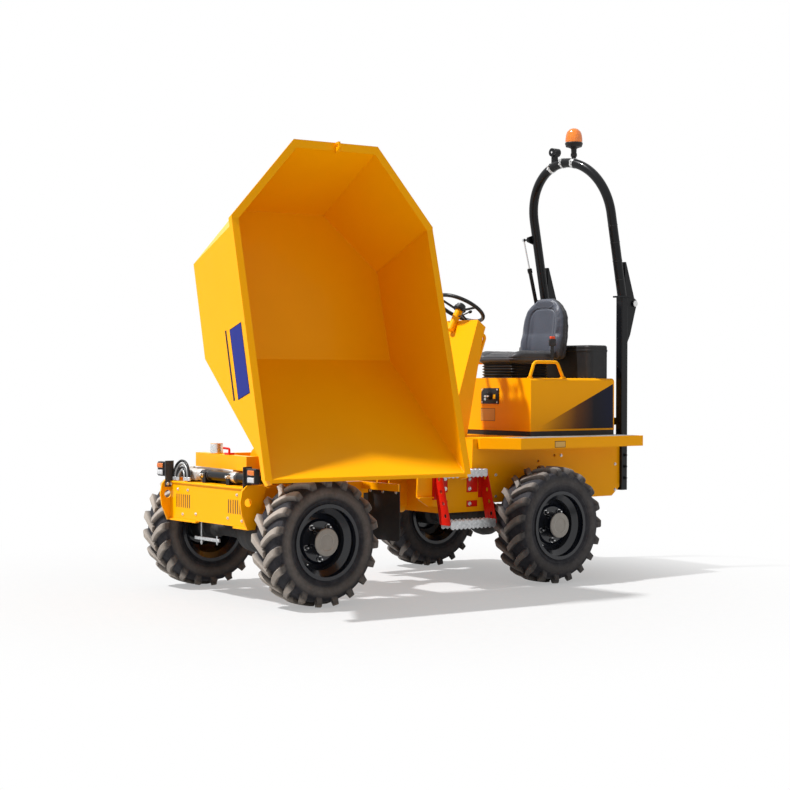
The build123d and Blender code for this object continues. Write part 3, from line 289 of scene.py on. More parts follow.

# %% [markdown]
# ## Rubbers and plastics
# The tyres carry an attribute, `worn`, that is 1 where a bar touches the ground, so its top can be
# pale while the walls stay dark: partly scuffed and dusty rubber, partly a painted highlight of the
# sun on the bar tops. The other rubbers and plastics differ in grain: moulded covers have a leathery
# grain, mud flaps have dust and fine scratches.

# %% Tyre rubber
def tyre_rubber():
    rubber = Finish("tyre_rubber")
    worn = rubber.node("ShaderNodeAttribute", {"attribute_name": "worn"}, {}, "Fac")
    dust = rubber.noise(22, 7, 0.7)
    fine = rubber.noise(190, 5, 0.75)
    mottle = ((dust - 0.40) * 3.2 + (fine - 0.5) * 0.9).clamp()
    wall = rubber.blend(mottle, (0.009, 0.009, 0.0125), (0.036, 0.035, 0.041))
    # The pale top colour is scuffed, dusty rubber and a painted highlight of the sun on the bars.
    scuffed_and_sunlit = rubber.blend(fine, (0.22, 0.19, 0.165), (0.44, 0.39, 0.34))
    cover = (worn * (0.60 + dust * 0.8)).clamp()
    rub = rubber.edges(0.006) * (0.25 + worn)
    shade = rubber.blend(cover, wall, scuffed_and_sunlit)
    shade = rubber.blend((rub * 0.45).clamp(), shade, (0.20, 0.18, 0.16))
    return rubber.surface(Base_Color=shade, Roughness=0.60 + dust * 0.25,
                          Normal=rubber.bump(fine, 0.0016, 0.55), Specular_IOR_Level=0.25)


# %% Flap rubber, moulded plastic and bellows
def moulded(name, low, high, grain, depth, rough, scratch=0.3):
    """Moulded rubber or plastic: a grain of `grain` cells to the metre, `depth` metres deep."""
    skin = Finish(name)
    cells = skin.node("ShaderNodeTexVoronoi", {"feature": "SMOOTH_F1"},
                      {"Vector": skin.at, "Scale": grain}, "Distance")
    dust = skin.noise(11, 6, 0.66)
    scores = skin.noise(60, 3, 0.5, stretch=(1, 6, 0.4))
    rub = skin.edges(0.003)
    shade = skin.blend(((dust - 0.4) * 2).clamp(), low, high)
    shade = skin.blend(((scores - 0.62) * 9).clamp() * scratch + rub * 0.25, shade,
                       tuple(part * 2.4 + 0.02 for part in high))
    return skin.surface(Base_Color=shade, Roughness=rough + dust * 0.16,
                        Normal=skin.bump(cells, depth, 0.5), Specular_IOR_Level=0.25)


tyre_finish = tyre_rubber()
flap_rubber = moulded("flap_rubber", (0.010, 0.010, 0.011), (0.030, 0.029, 0.028),
                      500, 0.0004, 0.45)
box_plastic = moulded("box_plastic", (0.012, 0.012, 0.013), (0.024, 0.024, 0.025),
                      620, 0.0004, 0.38)
bellows_rubber = moulded("bellows_rubber", (0.007, 0.007, 0.008), (0.017, 0.017, 0.018),
                         700, 0.0002, 0.24, 0.1)
wheel_grip = moulded("wheel_grip", (0.008, 0.008, 0.009), (0.018, 0.018, 0.019),
                     820, 0.0004, 0.30)
print("rubbers", tyre_finish.name, flap_rubber.name, box_plastic.name, bellows_rubber.name)


# %% [markdown]
# ## Seat vinyl
# The seat is covered in coated fabric with a fine pebbled grain, a little lighter and glossier in
# random patches. Its front panel is a lighter grey-blue, mostly a painted sheen of the sky, and its
# sides are black. Sheen gives it the soft rim that plain plastic doesn't have.

# %% Vinyl
def vinyl(name, low, high):
    skin = Finish(name)
    cells = skin.node("ShaderNodeTexVoronoi", {}, {"Vector": skin.at, "Scale": 480}, "Distance")
    patch = skin.noise(8, 5, 0.6)
    crease = skin.noise(26, 4, 0.55, stretch=(1, 0.35, 1))
    shade = skin.blend(patch, low, high)
    grain = skin.bump(cells, 0.0006, 0.45)
    return skin.surface(Base_Color=shade, Roughness=0.36 + patch * 0.2, Sheen_Weight=0.12,
                        Specular_IOR_Level=0.35, Normal=skin.bump(crease, 0.004, 0.35, grain))


# The grey-blue vinyl is mostly a painted sheen of the sky on the seat's front.
vinyl_sky_sheen = vinyl("vinyl_sky_sheen", srgb(46, 50, 60), srgb(66, 71, 84))
vinyl_black = vinyl("vinyl_black", srgb(24, 24, 27), srgb(40, 41, 46))
print("vinyls", vinyl_sky_sheen.name, vinyl_black.name)


# %% [markdown]
# ## Lenses and glass
# The beacon and the indicators are amber polycarbonate, clear lamps are glass. Thin walls like
# these are easier to light as a tinted gloss that lets part of the light through than as real
# glass, which turns black where there is nothing behind it.

# %% Amber and clear lenses
def lens(name, low, high, through, glow):
    shell = Finish(name)
    depth = shell.node("ShaderNodeLayerWeight", {}, {"Blend": 0.4}, "Facing")
    flutes = shell.noise(70, 2, 0.4, stretch=(1, 1, 0.1))
    shade = shell.blend(depth, high, low)
    # The faint emission is painted light: a glow that stands in for light passing through the shell.
    return shell.surface(Base_Color=shade, Roughness=0.08 + flutes * 0.10, IOR=1.49,
                         Transmission_Weight=through, Coat_Weight=0.5, Coat_Roughness=0.04,
                         Emission_Color=shade, Emission_Strength=glow,
                         Normal=shell.bump(flutes, 0.001, 0.2))


amber_lens = lens("amber_lens", (0.42, 0.07, 0.004), (0.95, 0.26, 0.01), 0.25, 0.10)
clear_lens = lens("clear_lens", (0.50, 0.51, 0.52), (0.86, 0.87, 0.88), 0.30, 0.06)
print("lenses", amber_lens.name, clear_lens.name)

# %% [markdown]
# ## Dress the frame
# Every solid of the frame keeps its shape and gets one of these finishes. A few are replaced
# further down by a finer piece of the same place and size.

# %% Put the finishes on the solids
def dress(finish, *names):
    for name in names:
        for place in node[name].material_slots:
            place.material = finish


CORNERS = ("front_left", "front_right", "rear_left", "rear_right")
dress(yellow_enamel, "front_frame", "turntable", "skip", "rear_frame", "engine_cover", "deck",
      "console", "grab_handles")
dress(black_enamel, "rops_posts", "rops_hoop", "gas_strut_barrel", "work_lamp", "tip_ram_barrel",
      "steering_ram_barrel", "slew_cylinder")
dress(red_enamel, "steps_left", "steps_right", "swivel_lock")
dress(chrome_plate, "tip_ram_rod", "steering_ram_rod", "gas_strut_rod")
dress(dark_casting, "front_axle", "rear_axle", "slew_ring", "pivot_knuckle")
dress(engine_casting, "engine")
dress(flap_rubber, "mud_flaps", "cover_seal", "seat_base")
dress(box_plastic, "rear_box", "beacon_base", "front_lamps")
dress(wheel_grip, "steering_wheel")
dress(amber_lens, "beacon_lens")
dress(vinyl_black, "seat_cushion", "seat_back")
for corner in CORNERS:
    dress(tyre_finish, "tyre_" + corner)
    dress(rim_enamel_sky_tint, "rim_" + corner)
print("dressed", len(node), "solids")

# %% [markdown]
# ## Working by hand, in code
# Each new piece starts as a primitive, is shaped in edit mode and is finished by modifiers.
# The same few moves come back every time, so they get names here: choose faces or edges by
# where they are, extrude a section along a row of places, turn a profile, round the edges,
# and hand the piece over to the body that it moves with.

# %% Choosing and settling
STEEP = 0.9         # the least part of a direction that counts as along an axis
SAME_POINT = 1e-6   # points of a turned profile that lie closer than this are merged
X, Y, Z = (1, 0, 0), (0, 1, 0), (0, 0, 1)
FACING_FORWARD = (0, pi / 2, 0)
SIDES = ((1, "left"), (-1, "right"))


def only(piece):
    """Leave edit mode and make this piece the only one selected."""
    if bpy.context.object and bpy.context.object.mode != "OBJECT":
        bpy.ops.object.mode_set(mode="OBJECT")
    bpy.ops.object.select_all(action="DESELECT")
    piece.select_set(True)
    bpy.context.view_layer.objects.active = piece


def choose(kind, test):
    """In edit mode, select the faces or edges whose middle and direction pass the test."""
    shape = bmesh.from_edit_mesh(bpy.context.object.data)
    bpy.ops.mesh.select_mode(type=kind)
    bpy.ops.mesh.select_all(action="DESELECT")
    for part in shape.faces if kind == "FACE" else shape.edges:
        if kind == "FACE":
            middle, way = part.calc_center_median(), part.normal
        else:
            middle = (part.verts[0].co + part.verts[1].co) / 2
            way = (part.verts[1].co - part.verts[0].co).normalized()
        if test(middle, way):
            part.select_set(True)
    shape.select_flush_mode()
    bmesh.update_edit_mesh(bpy.context.object.data)


def settle(name):
    """Name the active piece and put its place, turn and scale into its mesh."""
    piece = bpy.context.object
    if piece.mode != "OBJECT":
        bpy.ops.object.mode_set(mode="OBJECT")
    only(piece)
    piece.name = piece.data.name = name
    bpy.ops.object.transform_apply(location=True, rotation=True, scale=True)
    return piece


def apply_modifier(piece, kind, **settings):
    only(piece)
    step = piece.modifiers.new(kind.lower(), kind)
    for name, setting in settings.items():
        setattr(step, name, setting)
    bpy.ops.object.modifier_apply(modifier=step.name)
    return piece


def rounded(piece, width, segments=2, angle=35):
    """Round every edge sharper than `angle` degrees."""
    return apply_modifier(piece, "BEVEL", width=width, segments=segments, limit_method="ANGLE",
                          angle_limit=radians(angle), harden_normals=False)


def joined(name, pieces):
    only(pieces[0])
    for other in pieces[1:]:
        other.select_set(True)
    if len(pieces) > 1:
        bpy.ops.object.join()
    return settle(name)


def hand_over(piece, finish, body, smooth=32):
    """Give the piece its finish and the body it moves with."""
    only(piece)
    if finish:
        piece.data.materials.clear()
        piece.data.materials.append(finish)
    bpy.ops.object.shade_smooth_by_angle(angle=radians(smooth))
    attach(piece, body)
    return piece


# %% Blocks, rods, lathe work and extruded sections
def block(name, low, high):
    """A box between two corners, placed in its mesh."""
    low, high = Vector(low), Vector(high)
    bpy.ops.mesh.primitive_cube_add(size=1, location=(low + high) / 2, scale=high - low)
    return settle(name)


def rod(name, start, end, radius, sides=24, neck=None):
    """A round bar between two points, or a taper where `neck` gives the end's radius."""
    start, end = Vector(start), Vector(end)
    turn = (end - start).to_track_quat("Z", "Y").to_euler()
    bpy.ops.mesh.primitive_cone_add(vertices=sides, radius1=radius,
                                    radius2=radius if neck is None else neck,
                                    depth=(end - start).length, location=(start + end) / 2,
                                    rotation=turn)
    return settle(name)


def select_whole():
    bpy.ops.mesh.select_all(action="SELECT")


def editing(piece=None):
    """Enter edit mode, on the active piece or on the one given."""
    if piece:
        only(piece)
    bpy.ops.object.mode_set(mode="EDIT")


def closed_off(name):
    """Turn every face outwards and leave edit mode with a named piece."""
    select_whole()
    bpy.ops.mesh.normals_make_consistent(inside=False)
    return settle(name)


def round_corners(offset, segments):
    """Round the upright edges of the block that was just made."""
    editing()
    choose("EDGE", lambda middle, way: abs(way.z) > STEEP)
    bpy.ops.mesh.bevel(offset=offset, segments=segments)


def prism(name, at, radius, depth, sides=6, turn=(0, 0, 0)):
    """A short upright bar with six sides, or as many as asked for, about its middle."""
    bpy.ops.mesh.primitive_cylinder_add(vertices=sides, radius=radius, depth=depth,
                                        location=at, rotation=turn)
    return settle(name)


def first_point(at):
    """Start a mesh with a single point: a plane merged at its middle."""
    bpy.ops.mesh.primitive_plane_add(size=0.01, location=at)
    bpy.ops.object.transform_apply(location=True)
    editing()
    bpy.ops.mesh.select_mode(type="VERT")
    select_whole()
    bpy.ops.mesh.merge(type="CENTER")


def drawn(points):
    """Extrude the selected point through the rest of the points, as a line."""
    for before, after in zip(points, points[1:]):
        bpy.ops.mesh.extrude_vertices_move(
            TRANSFORM_OT_translate={"value": Vector(after) - Vector(before)})


def lathed(name, profile, middle, axis=Y, steps=48):
    """Turn a profile of (radius, along) points about an axis through `middle`."""
    axis = Vector(axis).normalized()
    side = axis.orthogonal().normalized()
    middle = Vector(middle)
    points = [middle + side * radius + axis * along for radius, along in profile]
    first_point(points[0])
    drawn(points)
    select_whole()
    bpy.ops.mesh.spin(steps=steps, angle=2 * pi, center=middle, axis=axis)
    select_whole()
    bpy.ops.mesh.remove_doubles(threshold=SAME_POINT)
    return closed_off(name)


def lofted(name, sections):
    """Extrude a four-cornered section through a row of sections, each a list of corners."""
    bpy.ops.mesh.primitive_plane_add(size=1, location=(0, 0, 0))
    editing()
    bpy.ops.mesh.select_mode(type="VERT")
    mesh = bpy.context.object.data
    shape = bmesh.from_edit_mesh(mesh)
    ring = shape.faces[:][0].verts[:]
    for corner, place in zip(ring, sections[0]):
        corner.co = place
    bmesh.update_edit_mesh(mesh)
    for before, section in zip(sections, sections[1:]):
        bpy.ops.mesh.extrude_region_move(TRANSFORM_OT_translate={"value": (0, 0, 0)})
        shape = bmesh.from_edit_mesh(mesh)
        for corner in (v for v in shape.verts if v.select):
            nearest = min(range(4), key=lambda k: (corner.co - Vector(before[k])).length)
            corner.co = section[nearest]
        bmesh.update_edit_mesh(mesh)
    return closed_off(name)


print("hands ready")

# %% [markdown]
# ## Tyres
# A site dumper runs on agricultural tyres: a smooth round casing with tall rubber bars that start at
# the middle of the tread, lean back and fold over the shoulder. Each side has nineteen, and the two
# sides are half a bar apart. The casing is a profile turned about the axle. One bar is a small section
# extruded along its path on the casing, which bends it to the round in one go; its copies are turned
# about the axle. A bar's top is marked pale for the rubber finish: scuffed rubber and a painted
# highlight of the sun.

# %% The casing's profile and one bar
BARS = 19
wheel_at = {corner: (Vector(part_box("tyre_" + corner)[0]) + Vector(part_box("tyre_" + corner)[1])) / 2
            for corner in CORNERS}
HALF_CASING = [(0.2085, 0.104), (0.2140, 0.1115), (0.2240, 0.1150), (0.2400, 0.1205),
               (0.2430, 0.1235), (0.2480, 0.1240), (0.2510, 0.1225), (0.2660, 0.1285),
               (0.2860, 0.1305), (0.3060, 0.1285), (0.3240, 0.1225), (0.3370, 0.1130),
               (0.3460, 0.0960), (0.3515, 0.0700), (0.3540, 0.0350)]
casing_profile = ([(r, -y) for r, y in HALF_CASING] + [(0.3550, 0.0)]
                  + [(r, y) for r, y in reversed(HALF_CASING)])

# along the bar: across the tread, radius of its top, turn round the axle in degrees,
# half its breadth at the top, then its foot: across and radius
BAR_PATH = [(-0.009, 0.3795, 0.0, 0.0165, -0.009, 0.349),
            (0.022, 0.3800, 4.3, 0.0175, 0.022, 0.349),
            (0.052, 0.3800, 8.0, 0.0180, 0.052, 0.347),
            (0.080, 0.3790, 11.0, 0.0185, 0.078, 0.343),
            (0.104, 0.3765, 13.0, 0.0195, 0.098, 0.336),
            (0.1220, 0.3700, 14.3, 0.0200, 0.109, 0.328),
            (0.1305, 0.3560, 15.1, 0.0185, 0.114, 0.318),
            (0.1312, 0.3360, 15.7, 0.0130, 0.118, 0.305)]


def bar_sections(middle, side, start):
    """The corners of one bar's sections, on the side given by 1 or -1, from a starting turn."""
    sections = []
    for across, top, turn, half, foot_across, foot in BAR_PATH:
        corners = []
        for y, radius, spread in ((across, top, half), (across, top, -half),
                                  (foot_across, foot, -half - 0.009),
                                  (foot_across, foot, half + 0.009)):
            angle = radians(start + turn) + spread / radius
            corners.append(middle + Vector((radius * cos(angle), side * y, radius * sin(angle))))
        sections.append(corners)
    return sections


def bar_row(middle, side, start):
    """One bar, rounded, and its copies round the tyre."""
    bar = rounded(lofted("bar", bar_sections(middle, side, start)), 0.0022, 1, 38)
    editing()
    select_whole()
    bpy.ops.mesh.spin(steps=BARS - 1, dupli=True, angle=2 * pi * (BARS - 1) / BARS,
                      center=middle, axis=Y)
    return settle("bar_row")


PALE_FROM, PALE_OVER = 0.357, 0.014    # the radius where the pale top begins, and where it is full
SHOULDER, SIDE_PALE = 0.124, 0.45      # the half breadth where it begins, and its strength
REAR_PALE = 0.45                       # the pale tops, scuff and painted highlight, are weaker on the rear tyres
middle = wheel_at["front_left"]
casing = lathed("casing", casing_profile, middle, steps=96)
tyre = joined("tread_front_left", [casing, bar_row(middle, 1, 0), bar_row(middle, -1, 180 / BARS)])
worn = tyre.data.attributes.new("worn", "FLOAT", "POINT")
for place, corner in zip(worn.data, tyre.data.vertices):
    across = abs(corner.co.y - middle.y)
    radius = hypot(corner.co.x - middle.x, corner.co.z - middle.z)
    place.value = min(1, max(0, (radius - PALE_FROM) / PALE_OVER,
                             (across - SHOULDER) / 0.010 * SIDE_PALE))
print("tyre", len(tyre.data.polygons), "faces, bars reach",
      round(max(hypot(c.co.x - middle.x, c.co.z - middle.z) for c in tyre.data.vertices), 4))

# %% Copies for the other wheels, each turned a little
tyres = {"front_left": tyre}
for corner, turn in (("front_right", 11.0), ("rear_left", 4.0), ("rear_right", 15.0)):
    copy = tyre.copy()
    copy.data = tyre.data.copy()
    copy.name = copy.data.name = "tread_" + corner
    bpy.context.collection.objects.link(copy)
    shift = Matrix.Translation(wheel_at[corner]) @ Matrix.Rotation(radians(turn), 4, "Y")
    copy.data.transform(shift @ Matrix.Translation(-middle))
    tyres[corner] = copy
for corner, piece in tyres.items():
    if "rear" in corner:
        for place in piece.data.attributes["worn"].data:
            place.value *= REAR_PALE
    hand_over(piece, tyre_finish, "wheel_" + corner, 24)
    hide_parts("tyre_" + corner)

# %% [markdown]
# ## Hubs, wheel nuts and valves
# The drum of the axle stands out through the wheel. Its face is bare sanded metal, the studs
# are plated, and the valve pokes through the dish. All of them are turned on a lathe.

# %% Hub caps, studs and valve stems
sanded = casting("sanded_hub", (0.20, 0.185, 0.165), (0.36, 0.335, 0.30), 0.25, 0.50)
STUDS, STUD_CIRCLE, VALVE_CIRCLE = 5, 0.102, 0.158
HUB_CAP = [(0.0, 0.1115), (0.020, 0.1122), (0.046, 0.1122), (0.050, 0.1162), (0.070, 0.1168),
           (0.0775, 0.1155), (0.0812, 0.1110), (0.0812, 0.1060), (0.0, 0.1060)]
STUD = [(0, 0), (0.0055, 0), (0.0055, 0.009), (0.0045, 0.0105), (0, 0.0110)]
WASHER = [(0, -0.017), (0.0165, -0.017), (0.0165, -0.0145), (0.0, -0.0145)]
VALVE = [(0, -0.02), (0.005, -0.02), (0.005, 0.012), (0.0035, 0.014), (0.0035, 0.022), (0.0, 0.022)]


def on_wheel(at, side, circle, angle, out):
    """A point of a wheel: on a circle about its axle, moved `out` from its middle."""
    return at + Vector((circle * cos(angle), side * out, circle * sin(angle)))


for corner in CORNERS:
    side = 1 if "left" in corner else -1
    outward = (0, side, 0)
    at = wheel_at[corner]
    cap = lathed("hub_cap_" + corner, HUB_CAP, at, outward, 56)
    hand_over(cap, sanded, "wheel_" + corner)
    studs = []
    for turn in range(STUDS):
        angle = -side * radians(72 * turn + 18)
        foot = on_wheel(at, side, STUD_CIRCLE, angle, 0.057)
        studs.append(lathed("stud", STUD, foot, outward, 12))
        studs.append(lathed("washer", WASHER, foot, outward, 20))
    valve_at = on_wheel(at, side, VALVE_CIRCLE, -side * radians(54), 0.030)
    studs.append(lathed("valve", VALVE, valve_at, outward, 12))
    hand_over(joined("wheel_studs_" + corner, studs), bolt_zinc, "wheel_" + corner)
print("hub caps, studs and valves on", len(CORNERS), "wheels")

# %% [markdown]
# ## Pads that are filled with air
# A seat pad is foam under a stretched skin: crowned where it is free, tight at its seams. A
# block with rounded corners is only the start. It is remeshed into small even faces, and a
# cloth simulation then presses it outwards like a balloon for twenty frames. No point may move
# further than a cap, so the pad keeps its place. Seams come last, because remeshing erases them.

# %% Puffing a pad
PUFF_FRAMES = 20


def remeshed(piece, voxel):
    """Rebuild the piece from small even faces."""
    only(piece)
    piece.data.remesh_voxel_size = voxel
    bpy.ops.object.voxel_remesh()


def puffed(piece, cap, pressure=4.0):
    """Press the remeshed piece outwards with a cloth simulation, no point further than `cap`."""
    before = [corner.co.copy() for corner in piece.data.vertices]
    cloth = piece.modifiers.new("skin", "CLOTH")
    cloth.settings.use_pressure = True
    cloth.settings.uniform_pressure_force = pressure
    cloth.settings.effector_weights.gravity = 0
    cloth.point_cache.frame_start, cloth.point_cache.frame_end = 1, PUFF_FRAMES
    scene = bpy.context.scene
    for number in range(1, PUFF_FRAMES + 1):
        scene.frame_set(number)
    swollen = piece.evaluated_get(bpy.context.evaluated_depsgraph_get())
    after = [corner.co.copy() for corner in swollen.data.vertices]
    piece.modifiers.remove(cloth)
    scene.frame_set(1)
    furthest = 0
    for corner, old, new in zip(piece.data.vertices, before, after):
        step = new - old
        furthest = max(furthest, step.length)
        corner.co = old + (step * (cap / step.length) if step.length > cap else step)
    print(piece.name, "swelled up to", round(furthest * 1000, 1), "mm, capped at", cap * 1000)


def ramp(amount, full=1.0):
    """The amount as a share of `full`, held between 0 and 1."""
    return min(1, max(0, amount / full))


def groove(distance, depth, breadth):
    """How deep a sewn line presses into a pad at a distance from it."""
    return depth / (1 + (distance / breadth) ** 4)


def two_finishes(piece, first, second, is_second):
    """Give the faces that pass the test the second finish."""
    piece.data.materials.clear()
    piece.data.materials.append(first)
    piece.data.materials.append(second)
    for face in piece.data.polygons:
        face.material_index = 1 if is_second(face.center, face.normal) else 0


# %% [markdown]
# ## Backrest
# The backrest is wider at the ribs than at the hips and closes in an arch at the top. Its front
# is a sunken panel between two bolsters, with one sewn line round it and a plain oval pressed
# into the skin near the top. A section of four corners is extruded upwards through the widths.

# %% Backrest
BACK_LOW, BACK_HIGH = 1.462, 1.903
BACK_WIDTHS = [(0.00, 0.176), (0.06, 0.192), (0.18, 0.204), (0.36, 0.211), (0.54, 0.210),
               (0.68, 0.200), (0.79, 0.180), (0.88, 0.148), (0.95, 0.108), (1.00, 0.062)]


def back_front(rise):
    """Where the front of the backrest stands at a share of its height."""
    return -1.570 - 0.048 * rise


def back_rear(rise):
    """Where its rear stands."""
    return -1.648 - 0.032 * rise + 0.010 * rise ** 6


def back_section(rise, half):
    """The four corners of the backrest at a share of its height."""
    z = BACK_LOW + rise * (BACK_HIGH - BACK_LOW)
    return [(x, y, z) for x, y in ((back_front(rise), -half), (back_front(rise), half),
                                   (back_rear(rise), half), (back_rear(rise), -half))]


back = lofted("seat_backrest", [back_section(rise, half) for rise, half in BACK_WIDTHS])
rounded(back, 0.026, 4, 40)
remeshed(back, 0.0058)
for corner in back.data.vertices:
    rise = (corner.co.z - BACK_LOW) / (BACK_HIGH - BACK_LOW)
    front = ramp((corner.co.x - back_rear(rise)) / 0.05 - 0.4)
    bolster = ramp(abs(corner.co.y) - 0.095, 0.06)
    hollow = ramp(rise, 0.12) * ramp(1 - rise, 0.15)
    lumbar = 0.010 * max(0, 1 - ((rise - 0.22) / 0.20) ** 2)
    corner.co.x += front * ((0.014 * bolster - 0.012 * (1 - bolster)) * hollow + lumbar)
puffed(back, 0.007)
apply_modifier(back, "SMOOTH", factor=0.5, iterations=3)
apply_modifier(back, "SUBSURF", levels=1, render_levels=1)
for corner in back.data.vertices:
    rise = (corner.co.z - BACK_LOW) / (BACK_HIGH - BACK_LOW)
    if corner.co.x < back_rear(rise) + 0.045:
        rim = abs(corner.co.x - back_rear(rise) - 0.030)
        inward = Vector((0, corner.co.y, corner.co.z - 1.66)).normalized()
        corner.co -= inward * groove(rim, 0.0035, 0.0045)
        continue
    panel = ((abs(corner.co.y) / 0.128) ** 4 + ((corner.co.z - 1.655) / 0.168) ** 4) ** 0.25
    oval = hypot(corner.co.y / 0.088, (corner.co.z - 1.852) / 0.030)
    corner.co.x -= groove((panel - 1) * 0.13, 0.0055, 0.0045)
    corner.co.x += 0.0022 / (1 + ((oval - 1) * 0.045 / 0.0035) ** 4)
# The front faces get the lighter grey-blue vinyl, mostly a painted sheen of the sky; the rest stays
# black.
two_finishes(back, vinyl_black, vinyl_sky_sheen,
             lambda middle, way: way.x > 0.30 and middle.x > back_rear(0.5) + 0.03)
hand_over(back, None, "rear_chassis", 60)
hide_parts("seat_back")
print("backrest", len(back.data.vertices), "points")

# %% [markdown]
# ## Cushion
# The cushion is a wide pad with round corners, a dropped front edge and two thigh bolsters. Its
# skin creases where the driver sits, so broad shallow folds run across it.

# %% Cushion
CUSHION_LOW, CUSHION_HIGH = Vector((-1.552, -0.226, 1.443)), Vector((-1.138, 0.226, 1.508))
cushion = block("seat_pad", CUSHION_LOW, CUSHION_HIGH)
round_corners(0.085, 9)
settle("seat_pad")
rounded(cushion, 0.022, 4, 50)
remeshed(cushion, 0.0062)
for corner in cushion.data.vertices:
    along = (corner.co.x - CUSHION_LOW.x) / (CUSHION_HIGH.x - CUSHION_LOW.x)
    top = ramp(corner.co.z - CUSHION_LOW.z - 0.02, 0.03)
    bolster = ramp(abs(corner.co.y) - 0.12, 0.07)
    drop = max(0, (along - 0.72) / 0.28) ** 2
    corner.co.z += top * (0.008 * bolster - 0.006 * (1 - bolster) - 0.020 * drop)
puffed(cushion, 0.009)
apply_modifier(cushion, "SMOOTH", factor=0.5, iterations=2)
apply_modifier(cushion, "SUBSURF", levels=1, render_levels=1)
for corner in cushion.data.vertices:
    x, y, z = corner.co
    if z > 1.475:
        panel = ((abs(y) / 0.135) ** 4 + (abs(x + 1.335) / 0.165) ** 4) ** 0.25
        corner.co.z -= groove((panel - 1) * 0.14, 0.0050, 0.0045)
        folds = sin(58 * x + 9 * y) + 0.6 * sin(90 * x - 22 * y + 1.3)
        corner.co.z += 0.0011 * folds * max(0, 1 - (y / 0.2) ** 2)
    outward = Vector((x + 1.345, y, 0)).normalized()
    corner.co -= outward * groove(z - 1.470, 0.0035, 0.0035)
hand_over(cushion, vinyl_black, "rear_chassis", 60)
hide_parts("seat_cushion")
print("cushion", len(cushion.data.vertices), "points")

# %% [markdown]
# ## Bellows under the seat
# A rubber bellows hides the suspension. Its folds are one rounded outline, extruded upwards in
# small steps that turn in and out, and a bevel makes the folds soft.

# %% Bellows
base_low, base_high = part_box("seat_base")
FOLDS, FOLD_WAIST = 5, 0.925
fold_height = (base_high[2] - base_low[2] - 0.006) / (2 * FOLDS)
bellows = block("seat_bellows", (base_low[0] + 0.004, base_low[1] + 0.004, base_low[2] + 0.0005),
                (base_high[0] - 0.004, base_high[1] - 0.004, base_low[2] + 0.003))
round_corners(0.040, 5)
choose("FACE", lambda middle, way: way.z > STEEP)
centre = ((base_low[0] + base_high[0]) / 2, 0, base_low[2])
for step in range(2 * FOLDS):
    bpy.ops.mesh.extrude_region_move(TRANSFORM_OT_translate={"value": (0, 0, fold_height)})
    size = FOLD_WAIST if step % 2 == 0 else 1 / FOLD_WAIST
    bpy.ops.transform.resize(value=(size, size, 1), center_override=centre)
bpy.ops.mesh.inset(thickness=0.01)
settle("seat_bellows")
rounded(bellows, 0.0022, 2, 30)
hand_over(bellows, bellows_rubber, "rear_chassis", 50)
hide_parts("seat_base")

# %% [markdown]
# ## Buckle, lid of the rear box and other seat fittings
# The belt's buckle stands on a short stalk beside the cushion, with an orange push button.

# %% Belt buckle and box lid
buckle_orange = moulded("buckle_orange", (0.66, 0.055, 0.008), (0.74, 0.085, 0.014),
                        500, 0.0002, 0.32)
stalk = rounded(block("buckle_stalk", (-1.478, 0.236, 1.470), (-1.448, 0.244, 1.562)), 0.003)
housing = rounded(block("buckle_housing", (-1.490, 0.229, 1.556), (-1.436, 0.252, 1.606)),
                  0.006, 3)
buckle = joined("belt_buckle", [stalk, housing])
hand_over(buckle, box_plastic, "rear_chassis")
button = rounded(block("buckle_button", (-1.482, 0.232, 1.600), (-1.444, 0.249, 1.622)),
                 0.004, 3)
hand_over(button, buckle_orange, "rear_chassis")

box_low, box_high = (Vector(corner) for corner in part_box("rear_box"))
lid = block("rear_box_lid", (box_low.x - 0.003, box_low.y - 0.003, box_high.z - 0.046),
            (box_high.x + 0.003, box_high.y + 0.003, box_high.z - 0.030))
round_corners(0.047, 8)
settle("rear_box_lid")
rounded(lid, 0.003, 2)
latch = rounded(block("latch", (box_high.x, -0.045, box_high.z - 0.075),
                      (box_high.x + 0.010, 0.045, box_high.z - 0.022)), 0.004, 3)
hand_over(joined("rear_box_lid", [lid, latch]), box_plastic, "rear_chassis")
print("bellows, buckle and lid made")

# %% [markdown]
# ## Bolts
# Plates are held by hexagon bolts with washers. One bolt is turned and bevelled once, and is
# then copied to every place on a body, each copy laid against its own plate.

# %% One bolt and its copies
BOLT_WASHER = [(0, 0), (1.05, 0), (1.12, 0.10), (1.05, 0.22), (0, 0.22)]
BOLT_STUD = [(0, 0.8), (0.36, 0.8), (0.34, 0.98), (0, 1.02)]


def scaled(size, profile):
    return [(radius * size, along * size) for radius, along in profile]


def bolt_shape(size):
    """A zinc bolt head with its washer, standing on the ground plane and pointing up."""
    washer = lathed("washer", scaled(size, BOLT_WASHER), (0, 0, 0), Z, 20)
    head = prism("head", (0, 0, 0.52 * size), 0.82 * size, 0.62 * size)
    rounded(head, 0.07 * size, 2, 50)
    stud = lathed("stud", scaled(size, BOLT_STUD), (0, 0, 0), Z, 12)
    return joined("bolt", [washer, head, stud])


def bolts(name, body, places, way, size=0.0095):
    """Bolts of one size at places on a body, all pointing the same way."""
    pattern = bolt_shape(size)
    turn = Vector(way).to_track_quat("Z", "Y").to_matrix().to_4x4()
    copies = []
    for number, place in enumerate(places):
        copy = pattern.copy()
        copy.data = pattern.data.copy()
        bpy.context.collection.objects.link(copy)
        spin = Matrix.Rotation(radians(17 * number), 4, "Z")
        copy.data.transform(Matrix.Translation(place) @ turn @ spin)
        copies.append(copy)
    bpy.data.objects.remove(pattern)
    return hand_over(joined(name, copies), bolt_zinc, body)


